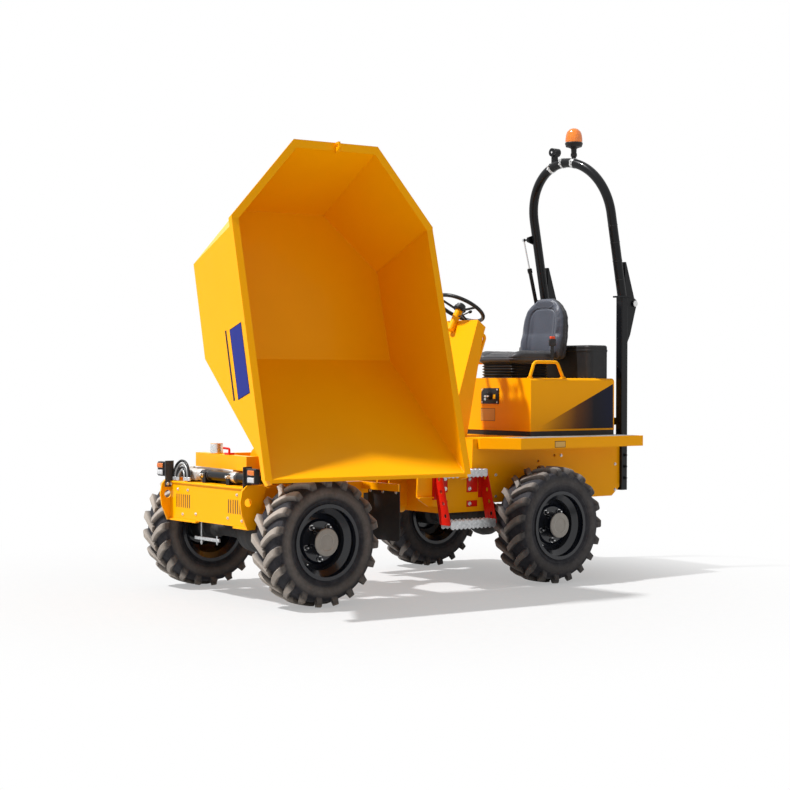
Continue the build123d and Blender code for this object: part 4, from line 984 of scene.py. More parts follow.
PLATE_X, SIDE_Y, STEP_Y = 1.140, 0.405, 0.411    # the plates' outer faces
TAB_LOW, TAB_HIGH = 0.4046, 0.4112
bolts("front_plate_bolts", "front_chassis",
      [(PLATE_X, y, z) for y, z in ((-0.359, 0.642), (-0.240, 0.642), (-0.299, 0.491),
                                    (-0.145, 0.502), (0.315, 0.644), (0.217, 0.502),
                                    (0.369, 0.495))], X, 0.0080)
for side, word in SIDES:
    bolts("side_plate_bolts_" + word, "rear_chassis",
          [(x, side * SIDE_Y, z) for x, z in ((-1.911, 0.739), (-1.911, 0.561), (-1.390, 0.813),
                                              (-0.800, 0.560), (-0.800, 0.700))],
          (0, side, 0), 0.0095)
    bolts("step_bolts_" + word, "rear_chassis",
          [(x, side * STEP_Y, z) for x, z in ((-0.365, 0.691), (-0.365, 0.626), (-0.365, 0.532),
                                              (-0.570, 0.682), (-0.570, 0.618), (-0.570, 0.523))],
          (0, side, 0), 0.0125)
    near, far = sorted((side * TAB_LOW, side * TAB_HIGH))
    tabs = [rounded(block("tab", (x0, near, z0), (x1, far, z1)), 0.0025, 2)
            for x0, x1, z0, z1 in
            ((-0.386, -0.330, 0.602, 0.714), (-0.386, -0.330, 0.511, 0.552),
             (-0.640, -0.548, 0.596, 0.703), (-0.636, -0.548, 0.502, 0.543))]
    hand_over(joined("step_tabs_" + word, tabs), red_enamel, "rear_chassis")
    hand_over(bolts("post_bolts_" + word, "rear_chassis",
                    [(-1.995, side * (SIDE_Y + 0.023), z) for z in (0.64, 0.72, 0.80, 0.87)],
                    (0, side, 0), 0.010), black_enamel, "rear_chassis")
print("bolts placed")

# %% [markdown]
# ## Step treads
# The steps' treads are galvanised planks with a serrated edge. A thin cap goes over each tread;
# its teeth are small turned discs set along both flanges, and raised rings on the top give grip.

# %% Serrated treads
TREAD_ENDS = (-0.6655, -0.2895)
TOOTH_R, PROUD = 0.0125, 0.0004    # the teeth stand proud, so that no two faces share a plane
GRIP_RING = [(0.0075, 0), (0.0060, 0.003), (0.0038, 0.003), (0.0026, 0)]


def mirrored_over(piece):
    """Turn a left-hand piece into its right-hand twin."""
    piece.data.transform(Matrix.Scale(-1, 4, Y))
    editing(piece)
    select_whole()
    bpy.ops.mesh.flip_normals()
    bpy.ops.object.mode_set(mode="OBJECT")


def tread(name, side, near, far, low, high):
    """A galvanised plank that spans `near` to `far` across, with flanges from `low` to `high`."""
    x0, x1 = TREAD_ENDS
    sheet, teeth = 0.0025, 11
    parts = [block("top", (x0, near, high - sheet), (x1, far, high))]
    for y in (near, far - sheet):
        parts.append(block("flange", (x0, y, low), (x1, y + sheet, high - sheet)))
    pitch = (x1 - x0) / teeth
    lobe = [(0, -PROUD), (TOOTH_R, -PROUD), (TOOTH_R, sheet + PROUD), (0, sheet + PROUD)]
    for number in range(teeth):
        x = x0 + pitch * (number + 0.5)
        for y, z in ((near, low + 0.006), (far - sheet, low + 0.006), (near, high - 0.006),
                     (far - sheet, high - 0.006)):
            parts.append(lathed("tooth", lobe, (x, y, z), Y, 16))
        for share in (0.2, 0.4, 0.6, 0.8) if number % 2 else (0.3, 0.5, 0.7):
            parts.append(lathed("ring", GRIP_RING, (x, near + (far - near) * share, high), Z, 10))
    plank = joined(name, parts)
    if side < 0:
        mirrored_over(plank)
    hand_over(plank, galvanised, "rear_chassis", 30)


for side, word in SIDES:
    tread("tread_upper_" + word, side, 0.4115, 0.4775, 0.7020, 0.7440)
    tread("tread_lower_" + word, side, 0.4625, 0.5590, 0.3830, 0.4290)
print("treads made")

# %% [markdown]
# ## Mud flaps
# Each flap is a sheet of rubber hung from a strip with three bolts. It is heavier at the foot
# and takes a slight wave there. The sheet is a block cut into bands both ways, whose points are
# then pushed by a wave that grows downwards.

# %% Flaps and their strips
FLAP_BANDS, FLAP_INNER = 12, 0.346
flap_low, flap_high = (Vector(corner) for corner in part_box("mud_flaps"))
for side, word in SIDES:
    near, far = side * FLAP_INNER, side * (flap_high.y - 0.001)
    flap = block("mud_flap_" + word, (flap_low.x + 0.0015, min(near, far), flap_low.z),
                 (flap_high.x - 0.0015, max(near, far), flap_high.z - 0.002))
    editing()
    choose("EDGE", lambda middle, way: abs(way.x) > STEEP and middle.z < flap_low.z + 0.01)
    bpy.ops.mesh.bevel(offset=0.022, segments=4)
    settle("mud_flap_" + word)
    rounded(flap, 0.0012, 1, 40)
    for height in range(1, FLAP_BANDS):
        z = flap_low.z + height * (flap_high.z - flap_low.z) / FLAP_BANDS
        y = near + height * (far - near) / FLAP_BANDS
        editing(flap)
        for cut, way in (((0, 0, z), Z), ((0, y, 0), Y)):
            select_whole()
            bpy.ops.mesh.bisect(plane_co=cut, plane_no=way)
        bpy.ops.object.mode_set(mode="OBJECT")
    for corner in flap.data.vertices:
        hang = (flap_high.z - corner.co.z) / (flap_high.z - flap_low.z)
        corner.co.x += 0.0016 * hang * sin(16 * corner.co.y + 2.0 * side) - 0.0010 * hang
    hand_over(flap, flap_rubber, "front_chassis", 40)
    if side > 0:
        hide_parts("mud_flaps")
    near, far = sorted((side * 0.352, side * 0.655))
    strip = rounded(block("flap_strip_" + word, (0.196, near, 0.622), (0.199, far, 0.652)),
                    0.001, 1)
    hand_over(strip, dark_casting, "front_chassis")
    bolts("flap_bolts_" + word, "front_chassis",
          [(0.2052, side * y, 0.638) for y in (0.375, 0.500, 0.630)], X, 0.0095)
print("mud flaps", flap_low, flap_high)

# %% [markdown]
# ## Films, plates and grit
# Flat things sit on the panels: coloured films, blank plates and anti-slip sheet. Each is an
# outline drawn point by point, filled, and extruded by its own thickness, so that it has a real
# edge that catches light. The film on the cover's side fades from near black to the panel's
# own yellow as it runs forward; a colour ramp along X does that.

# %% Their finishes
def film_finish(name, colour, rough=0.28, fleck=0.12):
    """Printed film under a clear layer, with a little dust and rubbing."""
    film = Finish(name)
    dust = film.noise(24, 6, 0.7)
    shade = film.blend(dust * fleck, colour, tuple(part * 0.6 + 0.02 for part in colour))
    return film.surface(Base_Color=shade, Roughness=rough + dust * 0.12,
                        Normal=film.bump(film.noise(160, 2), 0.0003, 0.15), Specular_IOR_Level=0.10)


def fading_film():
    film = Finish("fading_film")
    along = film.node("ShaderNodeSeparateXYZ", {}, {0: film.at}, "X")
    wander = film.noise(30, 5, 0.7) * 0.04
    fade = ((along + 1.90) / 0.74 + wander).clamp()
    shade = film.ramp(fade, [(0.0, (0.006, 0.008, 0.030)), (0.28, (0.010, 0.009, 0.014)),
                             (0.50, (0.12, 0.042, 0.008)), (0.76, (0.52, 0.20, 0.002)),
                             (0.97, YELLOW)])
    return film.surface(Base_Color=shade, Roughness=0.26, Specular_IOR_Level=0.10,
                        Normal=film.bump(wander, 0.0004, 0.2))


def grit():
    """Sharp grains bonded to a sheet, worn pale where boots land."""
    sheet = Finish("grit_sheet")
    grains = sheet.node("ShaderNodeTexVoronoi", {}, {"Vector": sheet.at, "Scale": 700}, "Distance")
    worn = ((sheet.noise(7, 6, 0.7) - 0.42) * 3).clamp()
    shade = sheet.blend(worn * 0.7, (0.06, 0.06, 0.062), (0.30, 0.29, 0.27))
    shade = sheet.blend(grains * 0.5, shade, (0.42, 0.42, 0.41))
    return sheet.surface(Base_Color=shade, Roughness=0.85, Normal=sheet.bump(grains, 0.0012, 0.8))


blue_film = film_finish("blue_film", srgb(22, 36, 122), 0.28, 0.06)
navy_film = film_finish("navy_film", srgb(10, 10, 36), 0.3, 0.05)
label_film = film_finish("label_film", srgb(214, 170, 96), 0.35, 0.3)
frame_film = film_finish("frame_film", srgb(96, 66, 30), 0.4, 0.3)
bright_film = film_finish("bright_film", srgb(252, 200, 20))
fading = fading_film()
grit_sheet = grit()
print("films", blue_film.name, fading.name, grit_sheet.name)

# %% An outline with a thickness
def plate(name, outline, out, thick=0.0006):
    """A flat piece: its outline filled, and extruded by `thick` along `out`."""
    first_point(outline[0])
    drawn(outline)
    select_whole()
    bpy.ops.mesh.edge_face_add()
    bpy.ops.mesh.extrude_region_move(TRANSFORM_OT_translate={"value": Vector(out) * thick})
    return closed_off(name)


def oblong(low, high, level, flat):
    """Four corners of an oblong on the plane where axis `flat` equals `level`."""
    corners = []
    for first, second in ((low[0], low[1]), (high[0], low[1]), (high[0], high[1]),
                          (low[0], high[1])):
        corner = [first, second]
        corner.insert(flat, level)
        corners.append(tuple(corner))
    return corners


# The skip is modelled level and facing forward, and is carried to where it stands by this turn.
SLEW_X, SLEW_DEGREES, TIP_DEGREES = 0.649, 84, 74.1
SLEW = Matrix.Translation((SLEW_X, 0, 0)) @ Matrix.Rotation(radians(SLEW_DEGREES), 4, "Z")
HINGE = Matrix.Translation((0.550, 0, 1.065))
TIP = SLEW @ HINGE @ Matrix.Rotation(radians(TIP_DEGREES), 4, "Y") @ HINGE.inverted()
SKIP_SIDE, COVER_SIDE = 0.6342, 0.4002
for side, word in ((-1, "left"), (1, "right")):
    for name, low, high, finish, lift in (
            ("panel_edge_", (0.057, 1.2815), (0.468, 1.4315), navy_film, 0.0005),
            ("panel_blue_", (0.0615, 1.2860), (0.4635, 1.4270), blue_film, 0.0009),
            ("panel_line_", (0.047, 1.2240), (0.459, 1.2420), navy_film, 0.0005)):
        piece = plate("skip_" + name + word, oblong(low, high, side * SKIP_SIDE, 1),
                      (0, side, 0), lift)
        piece.data.transform(TIP)
        hand_over(piece, finish, "skip_body")
    triangle = [(x, side * COVER_SIDE, z) for x, z in ((-1.165, 0.9905), (-1.893, 1.296),
                                                       (-1.895, 0.9905))]
    hand_over(plate("cover_film_" + word, triangle, (0, side, 0)), fading, "rear_chassis")
    tread_sheet = oblong((-1.895, side * 0.430), (-0.83, side * 0.644), 0.9451, 2)
    strip = rounded(plate("deck_grit_" + word, tread_sheet, Z, 0.0012), 0.0004, 1)
    hand_over(strip, grit_sheet, "rear_chassis")


def bordered(name, low, high, level, flat, way, border):
    """A blank plate on a slightly larger one that shows as its border."""
    rim_low, rim_high = ([part + step for part in corner]
                         for corner, step in ((low, -border), (high, border)))
    hand_over(plate(name + "_edge", oblong(rim_low, rim_high, level, flat), way, 0.0006),
              frame_film, "rear_chassis")
    hand_over(plate(name, oblong(low, high, level, flat), way, 0.0010),
              label_film, "rear_chassis")


bordered("flange_plate", (-1.181, 0.884), (-1.092, 0.919), 0.6602, 1, Y, 0.004)
bordered("cover_label", (-0.100, 1.044), (0.040, 1.124), -1.1148, 0, X, 0.003)
print("films laid")

# %% [markdown]
# ## Weld beads
# The skip is folded from plate and welded along its corners. A bead is a string of small
# overlapping ripples. It is turned on a lathe here: a round bar whose radius swells every few
# millimetres, sunk to its middle in the corner. Its shape is finer than paint could draw.

# %% Beads along the skip's seams
def bead(start, end, size=0.0042, ripple=0.0062):
    """A ripply bead between two points given in millimetres."""
    start, end = Vector(start) / 1000, Vector(end) / 1000
    way = end - start
    ripples = int(way.length / ripple)
    profile = [(0, 0)]
    for number in range(ripples):
        profile += [(size * 0.80, (number + 0.10) * ripple), (size, (number + 0.55) * ripple)]
    profile.append((0, way.length))
    return lathed("bead", profile, start, way, 7)


seams = [((-816, -296, 935), (-816, 296, 935))]
for side in (1, -1):
    back_corner, side_corner = (-816, side * 296, 935), (-455, side * 629, 935)
    front_corner = (123, side * 629, 935)
    seams += [(side_corner, front_corner), (front_corner, (985, side * 629, 1549)),
              (side_corner, back_corner), (side_corner, (-514, side * 628, 1540)),
              (back_corner, (-918, side * 264, 1650))]
beads = joined("skip_welds", [bead(*seam) for seam in seams])
beads.data.transform(TIP)
hand_over(beads, yellow_enamel, "skip_body", 50)
print("welds", len(seams), "faces", len(beads.data.polygons))

# %% [markdown]
# ## Battery isolator
# A square plate on the front of the engine cover carries the isolator's key, its stud and four
# screws. The plate is a rounded block, the boss and knob are lathe work and the key's grip is a
# small bevelled bar.

# %% Isolator
COVER_FACE = -1.1105
BOARD_FACE = COVER_FACE + 0.003
ON_BOARD = COVER_FACE + 0.0031
board = rounded(block("board", (-1.115, -0.093, 1.158), (BOARD_FACE, 0.083, 1.266)), 0.0012)
boss = lathed("boss", [(0, 0.003), (0.027, 0.003), (0.027, 0.010), (0.021, 0.016), (0.021, 0.020),
                       (0, 0.020)], (COVER_FACE, -0.010, 1.212), X, 28)
hand_over(joined("isolator_board", [board, boss]), box_plastic, "rear_chassis")
grip = rounded(block("grip", (COVER_FACE + 0.020, -0.034, 1.204),
                     (COVER_FACE + 0.032, 0.014, 1.216)), 0.004, 3)
stem = lathed("stem", [(0, 0.018), (0.008, 0.018), (0.007, 0.034), (0, 0.035)],
              (COVER_FACE, -0.010, 1.210), X, 16)
lug = lathed("lug", [(0.004, 0), (0.010, 0), (0.010, 0.003), (0.004, 0.003)],
             (BOARD_FACE, -0.050, 1.190), X, 16)
hand_over(joined("isolator_key", [grip, stem, lug]), bolt_zinc, "rear_chassis")
bolts("isolator_screws", "rear_chassis",
      [(BOARD_FACE, y, z) for y in (-0.082, 0.072) for z in (1.169, 1.255)], X, 0.0055)
corner_mark = [(ON_BOARD, -0.090, 1.240), (ON_BOARD, -0.066, 1.263), (ON_BOARD, -0.090, 1.263)]
hand_over(plate("isolator_corner", corner_mark, X), bright_film, "rear_chassis")
tag = oblong((0.030, 1.192), (0.054, 1.222), ON_BOARD, 0)
hand_over(plate("isolator_tag", tag, X, 0.0012), bright_film, "rear_chassis")
print("isolator", board.name)

# %% [markdown]
# ## Front lamps
# A plate bolted to each cheek carries a shallow black housing with an amber indicator above a
# clear marker lamp. The lenses are rounded blocks with low upright ribs that spread the light.
# Each right-hand piece is made like the left one and then mirrored.

# %% Lamps: bracket, housing and ribbed lenses
def ribbed_lens(name, low, high, ribs):
    """A lens that faces forward: a block with a rounded front and upright ribs on it."""
    parts = [rounded(block("shell", low, high), 0.004, 3)]
    pitch = (high[1] - low[1] - 0.010) / ribs
    for number in range(ribs):
        x, y = high[0] - 0.0005, low[1] + 0.005 + pitch * (number + 0.5)
        parts.append(rod("rib", (x, y, low[2] + 0.005), (x, y, high[2] - 0.005), pitch * 0.30, 6))
    return joined(name, parts)


def both_sides(name, build, finish, body, smooth=32):
    """Build a left-hand piece and its right-hand twin."""
    made = []
    for word in ("left", "right"):
        piece = build(name + "_" + word)
        if word == "right":
            mirrored_over(piece)
        made.append(hand_over(piece, finish, body, smooth))
    return made


def lamp_housing(name):
    """The black shell with a raised lip round each lens."""
    shell = rounded(block("shell", (1.140, 0.446, 0.716), (1.170, 0.558, 0.806)), 0.005, 3)
    lips = [rounded(block("lip", (1.168, 0.480, low), (1.175, 0.554, high)), 0.003, 2)
            for low, high in ((0.7215, 0.7605), (0.7635, 0.8010))]
    return joined(name, [shell] + lips)


housings = both_sides("lamp_housing", lamp_housing, box_plastic, "front_chassis")
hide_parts("front_lamps")
for lamp, foot, top, finish in (("marker_lens", 0.7255, 0.7565, clear_lens),
                                ("indicator_lens", 0.7675, 0.7970, amber_lens)):
    both_sides(lamp, lambda name: ribbed_lens(name, (1.172, 0.484, foot), (1.181, 0.550, top), 6),
               finish, "front_chassis")
both_sides("lamp_bracket",
           lambda name: rounded(block(name, (1.122, 0.4405, 0.652), (1.182, 0.4465, 0.814)),
                                0.0015, 2), dark_casting, "front_chassis")
for side, word in SIDES:
    bolts("lamp_bolts_" + word, "front_chassis",
          [(x, side * 0.4405, 0.672) for x in (1.138, 1.166)], (0, -side, 0), 0.0100)
print("lamps fitted")

# %% [markdown]
# ## Slew cylinder
# A cylinder lying across the frame turns the skip. Its rod end is a rough cast block, its barrel
# has a gland nut, ports with unions, and a grease nipple. Most of these are lathe profiles along
# the cylinder's own axis, and the unions are short prisms.

# %% Cast end, gland and unions
RAM_X, RAM_Z = 1.055, 0.735
RAM = (RAM_X, 0, RAM_Z)
cast = lathed("cast", [(0, -0.345), (0.026, -0.345), (0.034, -0.338), (0.037, -0.300),
                       (0.033, -0.275), (0.036, -0.240), (0.036, -0.205), (0.030, -0.196),
                       (0, -0.196)], RAM, Y, 28)
pad = rounded(block("pad", (RAM_X - 0.030, -0.325, RAM_Z - 0.036),
                    (RAM_X + 0.040, -0.220, RAM_Z + 0.022)), 0.010, 3)
rough_cast = casting("rough_cast", (0.34, 0.33, 0.32), (0.52, 0.50, 0.48), 0.35, 0.5)
hand_over(joined("slew_cast_end", [cast, pad]), rough_cast, "front_chassis", 45)
collars = []
for along, size in ((-0.165, 0.0335), (-0.120, 0.0325), (0.120, 0.0335), (0.205, 0.0335)):
    collars.append(lathed("collar", [(0, -0.012), (size - 0.003, -0.012), (size, -0.009),
                                     (size, 0.009), (size - 0.003, 0.012), (0, 0.012)],
                          (RAM_X, along, RAM_Z), Y, 32))
hand_over(joined("slew_collars", collars), dark_casting, "front_chassis")
gland = lathed("gland", [(0, 0.134), (0.0335, 0.134), (0.0350, 0.140), (0.0350, 0.180),
                         (0.0320, 0.190), (0, 0.190)], RAM, Y, 32)
unions = []
for along in (-0.140, 0.150):
    for size, low, high, sides in ((0.0115, 0.000, 0.026, 6), (0.008, 0.026, 0.040, 16)):
        union = prism("union", (RAM_X + 0.022 + (low + high) / 2, along, RAM_Z + 0.004),
                      size, high - low, sides, FACING_FORWARD)
        unions.append(rounded(union, 0.001, 1, 40))
hand_over(joined("slew_gland", [gland] + unions), bolt_zinc, "front_chassis")
nipple = lathed("nipple_cap", [(0, 0), (0.0085, 0), (0.0095, 0.006), (0.006, 0.013), (0, 0.014)],
                (RAM_X + 0.030, -0.150, RAM_Z - 0.006), X, 18)
hand_over(nipple, bright_film, "front_chassis")
print("slew cylinder fitted")

# %% [markdown]
# ## Bent pipes
# Oil goes to the slew cylinder through a bundle of bent pipes that stand in an arch in front of
# the turntable, far enough out for it to turn past them. A pipe is a smooth curve through a few
# points, given a round section and then made a mesh.

# %% Pipe bundle
def pipe(name, points, radius, sides=4):
    """A bent pipe along a smooth curve through `points`, closed at its ends."""
    bpy.ops.curve.primitive_bezier_curve_add(location=(0, 0, 0))
    curve = bpy.context.object
    run = curve.data.splines[0]
    run.bezier_points.add(len(points) - 2)
    for place, point in zip(run.bezier_points, points):
        place.co = point
        place.handle_left_type = place.handle_right_type = "AUTO"
    curve.data.dimensions = "3D"
    curve.data.bevel_depth = radius
    curve.data.bevel_resolution = sides
    curve.data.resolution_u = 10
    curve.data.use_fill_caps = True
    bpy.ops.object.convert(target="MESH")
    return settle(name)


black_pipe = moulded("black_pipe", (0.010, 0.010, 0.011), (0.022, 0.022, 0.022),
                     900, 0.0002, 0.28, 0.5)
grey_pipe = casting("grey_pipe", (0.20, 0.20, 0.20), (0.34, 0.34, 0.33), 0.6, 0.35)
sets = {"black": [], "grey": [], "nuts": []}
arch = [(1.124, -0.436, 0.700), (1.122, -0.428, 0.760), (1.118, -0.385, 0.806),
        (1.118, -0.330, 0.815), (1.120, -0.285, 0.795), (1.124, -0.256, 0.752),
        (1.124, -0.250, 0.704)]
ARCH_Y, ARCH_FOOT = -0.343, 0.700    # the arches are nested about this line
for size, kind in ((1.0, "black"), (0.80, "grey"), (0.60, "black"), (0.40, "grey")):
    path = [(x, ARCH_Y + (y - ARCH_Y) * size,
             ARCH_FOOT + (z - ARCH_FOOT) * (0.12 + 0.88 * size)) for x, y, z in arch]
    sets[kind].append(pipe("pipe", path, 0.0080))
    for place in (path[0], path[-1]):
        nut = prism("nut", Vector(place) + Vector((0, 0, 0.004)), 0.0112, 0.022)
        sets["nuts"].append(rounded(nut, 0.001, 1, 40))
hand_over(joined("oil_pipes_black", sets["black"]), black_pipe, "front_chassis",
          50)
hand_over(joined("oil_pipes_grey", sets["grey"]), grey_pipe, "front_chassis", 50)
hand_over(joined("oil_pipe_nuts", sets["nuts"]), bolt_zinc, "front_chassis")
print("pipes laid")

# %% [markdown]
# ## Rest pad, tow pin and lip
# The lowered skip rests on a turned steel post. Below the front plate hangs the tow pin on its
# cross bar. A folded lip along the top of the plate throws a thin line of shade.

# %% Turned and folded bits
hand_over(lathed("rest_pad", [(0.0386, 0.864), (0.0400, 0.866), (0.0400, 0.900), (0.0386, 0.903),
                              (0.0386, 0.921), (0.0360, 0.9256), (0, 0.9256)],
                 (0.950, -0.216, 0), Z, 40), bolt_zinc, "slew_platform")
bar = rounded(block("bar", (1.092, -0.222, 0.342), (1.104, 0.060, 0.362)), 0.003)
pin = lathed("pin", [(0, 0.312), (0.0045, 0.318), (0.0075, 0.326), (0.0075, 0.335), (0.0045, 0.337),
                     (0.0045, 0.455), (0, 0.455)], (1.098, -0.149, 0), Z, 18)
clip = lathed("clip", [(0, 0.322), (0.006, 0.330), (0.006, 0.378), (0, 0.380)],
              (1.098, 0.030, 0), Z, 14)
hand_over(joined("tow_pin", [bar, pin, clip]), galvanised, "front_chassis")
lip = rounded(block("plate_lip", (1.1395, -0.455, 0.6780), (1.1475, 0.455, 0.6900)), 0.0035, 3)
hand_over(lip, yellow_enamel, "front_chassis")
print("rest pad, tow pin, lip")

# %% [markdown]
# ## Dark strips in the vents
# Two rows of seven upright slots let air through the front plate. The plate reads as thin because dark
# strips sit close behind it: painted shade for the dark inside of the slots. Each row is seven dark
# strips with round ends, one in each slot, set back from the plate's face.

# %% Dark strips set back in the slots, as painted shade
SLOTS, FIRST_SLOT, SLOT_PITCH, SHADE_STRIP_X = 7, 0.222, 0.025, 1.1312


def slot_outline(x, y, middle, reach, radius, steps=8):
    """The outline of an upright slot: two half circles joined by straight sides."""
    turns = [pi * step / steps for step in range(steps + 1)]
    top = [(x, y + radius * cos(turn), middle + reach + radius * sin(turn)) for turn in turns]
    foot = [(x, y - radius * cos(turn), middle - reach - radius * sin(turn)) for turn in turns]
    return top + foot


for side, word in SIDES:
    outlines = [slot_outline(SHADE_STRIP_X, side * (FIRST_SLOT + SLOT_PITCH * number),
                             0.572, 0.037, 0.0053) for number in range(SLOTS)]
    strips = [plate("strip", outline, X, 0.0080) for outline in outlines]
    hand_over(joined("vent_shade_strips_" + word, strips), box_plastic, "front_chassis",
              30)
print("vent guards placed")

# %% [markdown]
# ## Beacon and work lamp
# The beacon's lens is a fluted amber dome on a rubber cup, which stands on a plug-in stem that is
# clamped to the hoop. Dome, cup and stem are profiles turned on a lathe; the flutes are thin
# ribs laid along the dome. Zinc clamps go round the hoop's bend. The work lamp has a clear lens
# in a zinc bezel.

# %% Beacon: foot, cup, lens and clamps
BEACON, FLUTES = (-1.804, 0.095, 0), 28
lens_shape = [(0, 3.000), (0.0575, 3.000), (0.0592, 3.006), (0.0580, 3.030), (0.0535, 3.056),
              (0.0450, 3.078), (0.0320, 3.093), (0.0160, 3.1000), (0, 3.1012)]
beacon_dome = lathed("beacon_dome", lens_shape, BEACON, Z, 64)
ribs = []
for number in range(FLUTES):
    turn = 2 * pi * number / FLUTES
    way = Vector((cos(turn), sin(turn), 0))
    for (low_ring, low_z), (high_ring, high_z) in zip(lens_shape[2:5], lens_shape[3:6]):
        ribs.append(rod("rib", Vector(BEACON) + way * low_ring + Vector((0, 0, low_z)),
                        Vector(BEACON) + way * high_ring + Vector((0, 0, high_z)), 0.0011, 5))
hand_over(joined("beacon_dome", [beacon_dome] + ribs), amber_lens, "hoop", 50)
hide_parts("beacon_lens")
cup = lathed("beacon_cup", [(0, 3.001), (0.0590, 3.001), (0.0625, 2.997), (0.0625, 2.989),
                            (0.0600, 2.984), (0.0560, 2.970), (0.0300, 2.962), (0.0200, 2.955),
                            (0.0190, 2.925), (0.0225, 2.922), (0.0225, 2.903), (0.0165, 2.900),
                            (0.0165, 2.872), (0, 2.872)], BEACON, Z, 48)
hand_over(cup, box_plastic, "hoop")
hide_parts("beacon_base")
ARCH, LEG_LEAN = 0.390, radians(11)
CREST_X, CREST_Z = -1.8045, 2.866
CLAMP_INNER, CLAMP_OUTER = 0.0325, 0.0368


def on_arch(y):
    """A point on the hoop's top bend and the direction in which the tube runs there."""
    rise = (ARCH ** 2 - y ** 2) ** 0.5
    spot = Vector((CREST_X + (rise - ARCH) * sin(LEG_LEAN), y,
                   CREST_Z + (rise - ARCH) * cos(LEG_LEAN)))
    return spot, Vector((0, rise, -y)).normalized()


clamps = []
for y, breadth in ((0.095, 0.013), (-0.010, 0.008), (-0.135, 0.010)):
    spot, way = on_arch(y)
    clamps.append(lathed("clamp", [(CLAMP_INNER, -breadth), (CLAMP_OUTER, -breadth),
                                   (CLAMP_OUTER, breadth), (CLAMP_INNER, breadth),
                                   (CLAMP_INNER, -breadth)], spot, way, 40))
    for height in (-0.010, 0.012):
        nut = prism("nut", spot + Vector((0.040, 0, height)), 0.0075, 0.012, 6, FACING_FORWARD)
        clamps.append(rounded(nut, 0.0008, 1, 40))
hand_over(joined("hoop_clamps", clamps), bolt_zinc, "hoop")

lamp_low, lamp_high = (Vector(corner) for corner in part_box("work_lamp"))
lamp_middle = (lamp_low + lamp_high) / 2
lamp_face = (lamp_high.x - 0.001, lamp_middle.y, 2.951)
glass = lathed("work_lamp_glass", [(0, 0.0012), (0.0225, 0.0006), (0.0248, -0.003),
                                   (0.0248, -0.006), (0, -0.006)], lamp_face, X, 40)
hand_over(glass, clear_lens, "hoop")
bezel = lathed("work_lamp_bezel", [(0.0246, -0.012), (0.0300, -0.012), (0.0300, -0.001),
                                   (0.0285, 0.0008), (0.0262, 0.0008), (0.0246, -0.003),
                                   (0.0246, -0.012)], lamp_face, X, 40)
hand_over(bezel, bolt_zinc, "hoop")
print("beacon and work lamp")

# %% [markdown]
# ## Hoop hinges and cable
# The hoop folds on two pins through the posts' heads, of which the zinc heads show. A thin cable
# for the beacon is tied flat to the hoop's leg with straps, so it moves with it.

# %% Pin heads and tied cable
def on_leg(along, fore=0.0):
    """A point `along` the hoop's left leg, moved `fore` across the tube."""
    return Vector((-1.99 + along * sin(LEG_LEAN) + fore * cos(LEG_LEAN), ARCH,
                   1.91 + along * cos(LEG_LEAN) - fore * sin(LEG_LEAN)))


PIN_HEAD = [(0, 0.428), (0.021, 0.428), (0.021, 0.435), (0.018, 0.438), (0, 0.438)]
OTHER_HEAD = [(radius, -along) for radius, along in reversed(PIN_HEAD)]
for profile in (PIN_HEAD, OTHER_HEAD):
    pin = lathed("pin", profile, (-2.080, 0, 1.860), Y, 28)
    hand_over(pin, bolt_zinc, "hoop")
ties = []
for along in (0.12, 0.25, 0.38, 0.50):
    middle_of_tie = on_leg(along)
    way = (on_leg(along + 0.01) - middle_of_tie).normalized()
    ties.append(lathed("tie", [(0.0325, -0.0025), (0.0348, -0.0020), (0.0348, 0.0020),
                               (0.0325, 0.0025), (0.0325, -0.0025)], middle_of_tie, way, 40))
hand_over(joined("cable_ties", ties), box_plastic, "hoop")
route = [on_leg(along, fore) for along, fore in ((0.05, 0.020), (0.08, 0.0345), (0.30, 0.0345),
                                                 (0.50, 0.0345), (0.53, 0.020))]
hand_over(pipe("beacon_cable", route, 0.0032, 2), black_pipe, "hoop", 50)
print("hinge pins and cable")

# %% [markdown]
# ## Controls
# The dash carries two gauges and two switches, turned on a lathe and laid square to its slope. The
# steering wheel gets a hub cap, and a bent stalk with a knob beside it is the direction lever.

# %% Gauges, switches, lever and hub cap
DASH_LOW, DASH_HIGH = Vector((-0.862, 0, 1.672)), Vector((-0.795, 0, 1.720))
DASH_WAY = Vector((-0.582, 0, 0.813)).normalized()


def on_dash(share, y):
    """A point at a share of the dash's slope."""
    return DASH_LOW.lerp(DASH_HIGH, share) + Vector((0, y, 0))


faces, bezels = [], []
for y in (-0.125, 0.125):
    spot = on_dash(0.55, y)
    bezels.append(lathed("bezel", [(0.026, 0), (0.030, 0), (0.030, 0.006), (0.0275, 0.008),
                                   (0.026, 0.006)], spot, DASH_WAY, 36))
    faces.append(lathed("dial", [(0, 0.004), (0.026, 0.004), (0.026, 0), (0, 0)],
                        spot, DASH_WAY, 36))
for y in (-0.185, 0.190):
    spot = on_dash(0.5, y)
    bezels.append(lathed("switch", [(0, 0), (0.012, 0), (0.012, 0.008), (0.009, 0.011),
                                    (0, 0.011)], spot, DASH_WAY, 20))
hand_over(joined("dash_bezels", bezels), bolt_zinc, "rear_chassis")
hand_over(joined("dash_dials", faces), clear_lens, "rear_chassis")
AXLE = (Vector((-0.825, 0, 1.788)) - Vector((-0.7475, 0, 1.653))).normalized()
cap = lathed("helm_cap", [(0, 0.034), (0.020, 0.032), (0.031, 0.024), (0.033, 0.010), (0, 0.010)],
             (-0.835, 0, 1.805), AXLE, 36)
hand_over(cap, wheel_grip, "helm")
stalk = pipe("stalk", [(-0.800, 0.020, 1.745), (-0.812, 0.070, 1.760),
                       (-0.822, 0.110, 1.775)], 0.0045, 3)
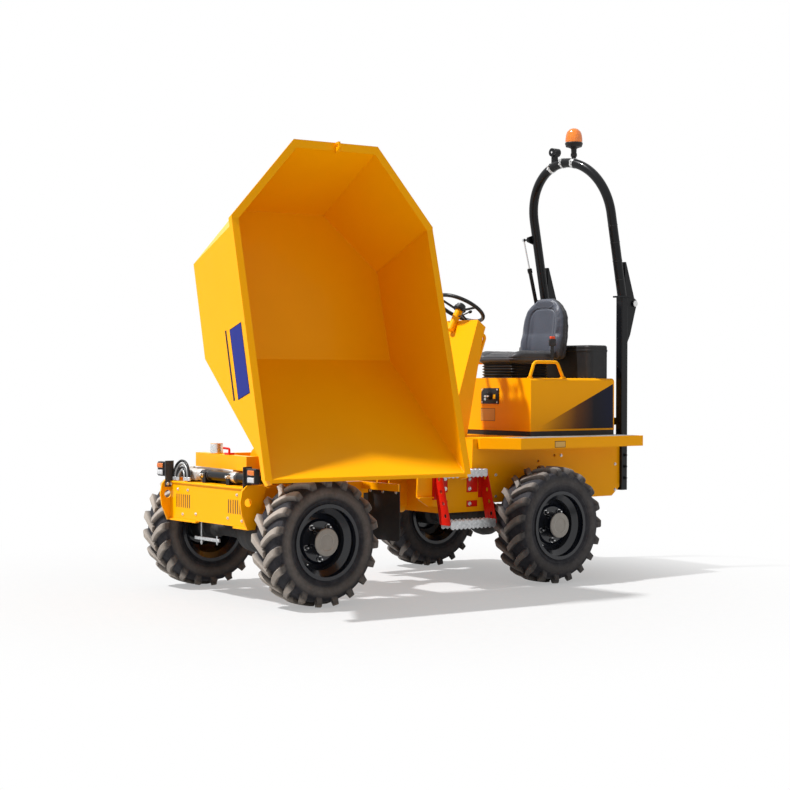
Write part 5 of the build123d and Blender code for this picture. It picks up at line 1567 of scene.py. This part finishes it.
knob = lathed("knob", [(0, -0.004), (0.009, 0.002), (0.011, 0.012), (0.008, 0.022), (0, 0.025)],
              (-0.822, 0.106, 1.773), (-0.2, 1, 0.3), 20)
hand_over(joined("direction_lever", [stalk, knob]), box_plastic, "rear_chassis")
print("controls fitted")

# %% [markdown]
# ## Floor and light
# The machine stands outdoors in clear sun against white. One high sun from the front right
# lights the faces that look up and forward, and the sky fills the rest. The floor is pale grey
# near the machine, so that it catches the shadow, and turns to plain white further out. The
# camera and reflections see that white, but it throws no light of its own on the machine.

# %% Floor
bpy.ops.object.select_all(action="DESELECT")
bpy.ops.mesh.primitive_plane_add(size=80, location=(0, 0, 0))
floor = bpy.context.object
floor.name = "studio_floor"
ground = Finish("studio_floor")
apart = ground.node("ShaderNodeVectorMath", {"operation": "DISTANCE"},
                    {0: ground.at, 1: (0.1, 0.1, 0)}, "Value")
seen = ground.node("ShaderNodeLightPath", out="Is Camera Ray")
shiny = ground.node("ShaderNodeLightPath", out="Is Glossy Ray")
passed = ground.node("ShaderNodeLightPath", out="Is Transmission Ray")
speck = ground.noise(14, 5)
matt = ground.surface(Base_Color=ground.blend(speck, (0.44, 0.44, 0.44), (0.48, 0.48, 0.48)),
                      Roughness=0.8, Specular_IOR_Level=0.1)
fade = ((apart - 1.5) / 2.2).clamp()
fade = 0.38 + 0.62 * fade * fade * (3 - 2 * fade)
white = ground.node("ShaderNodeEmission", {}, {"Color": (1, 1, 1, 1), "Strength": 1.0})
output = next(step for step in ground.tree.nodes if step.bl_idname == "ShaderNodeOutputMaterial")
mixed = ground.node("ShaderNodeMixShader", {}, {"Fac": fade * (seen + shiny + passed).clamp()})
mixer = mixed.socket.node
ground.tree.links.new(output.inputs[0].links[0].from_socket, mixer.inputs[1])
ground.tree.links.new(white.socket, mixer.inputs[2])
ground.tree.links.new(mixed.socket, output.inputs[0])
floor.data.materials.append(matt)
print("floor", floor.dimensions[:2])

# %% Sun and sky
sun_data = bpy.data.lights.new("sun", "SUN")
sun_data.energy = 5.6
sun_data.angle = radians(3)
sun = bpy.data.objects.new("sun", sun_data)
sun.rotation_euler = Vector((0.46, -0.23, 0.860)).to_track_quat("Z", "Y").to_euler()
bpy.context.scene.collection.objects.link(sun)

world = bpy.data.worlds.new("sky")
world.use_nodes = True
sky = world.node_tree
sky.nodes.clear()
paths = sky.nodes.new("ShaderNodeLightPath")
shown = Value(sky, paths.outputs["Is Camera Ray"]) + Value(sky, paths.outputs["Is Glossy Ray"])
shown = (shown + Value(sky, paths.outputs["Is Transmission Ray"])).clamp()
LOW_SKY, HIGH_SKY = 0.36, 0.62
direction = sky.nodes.new("ShaderNodeTexCoord")
split = sky.nodes.new("ShaderNodeSeparateXYZ")
sky.links.new(direction.outputs["Generated"], split.inputs[0])
height = Value(sky, split.outputs["Z"]).clamp()
light = LOW_SKY + height * (HIGH_SKY - LOW_SKY)
backdrop = sky.nodes.new("ShaderNodeBackground")
backdrop.inputs["Color"].default_value = (1, 1, 1, 1)
sky.links.new((light + shown * (1 - light)).socket, backdrop.inputs["Strength"])
sky.links.new(backdrop.outputs[0], sky.nodes.new("ShaderNodeOutputWorld").inputs[0])
bpy.context.scene.world = world
bpy.context.scene.view_settings.view_transform = "Standard"
print("sun", sun_data.energy, "sky", LOW_SKY, HIGH_SKY)
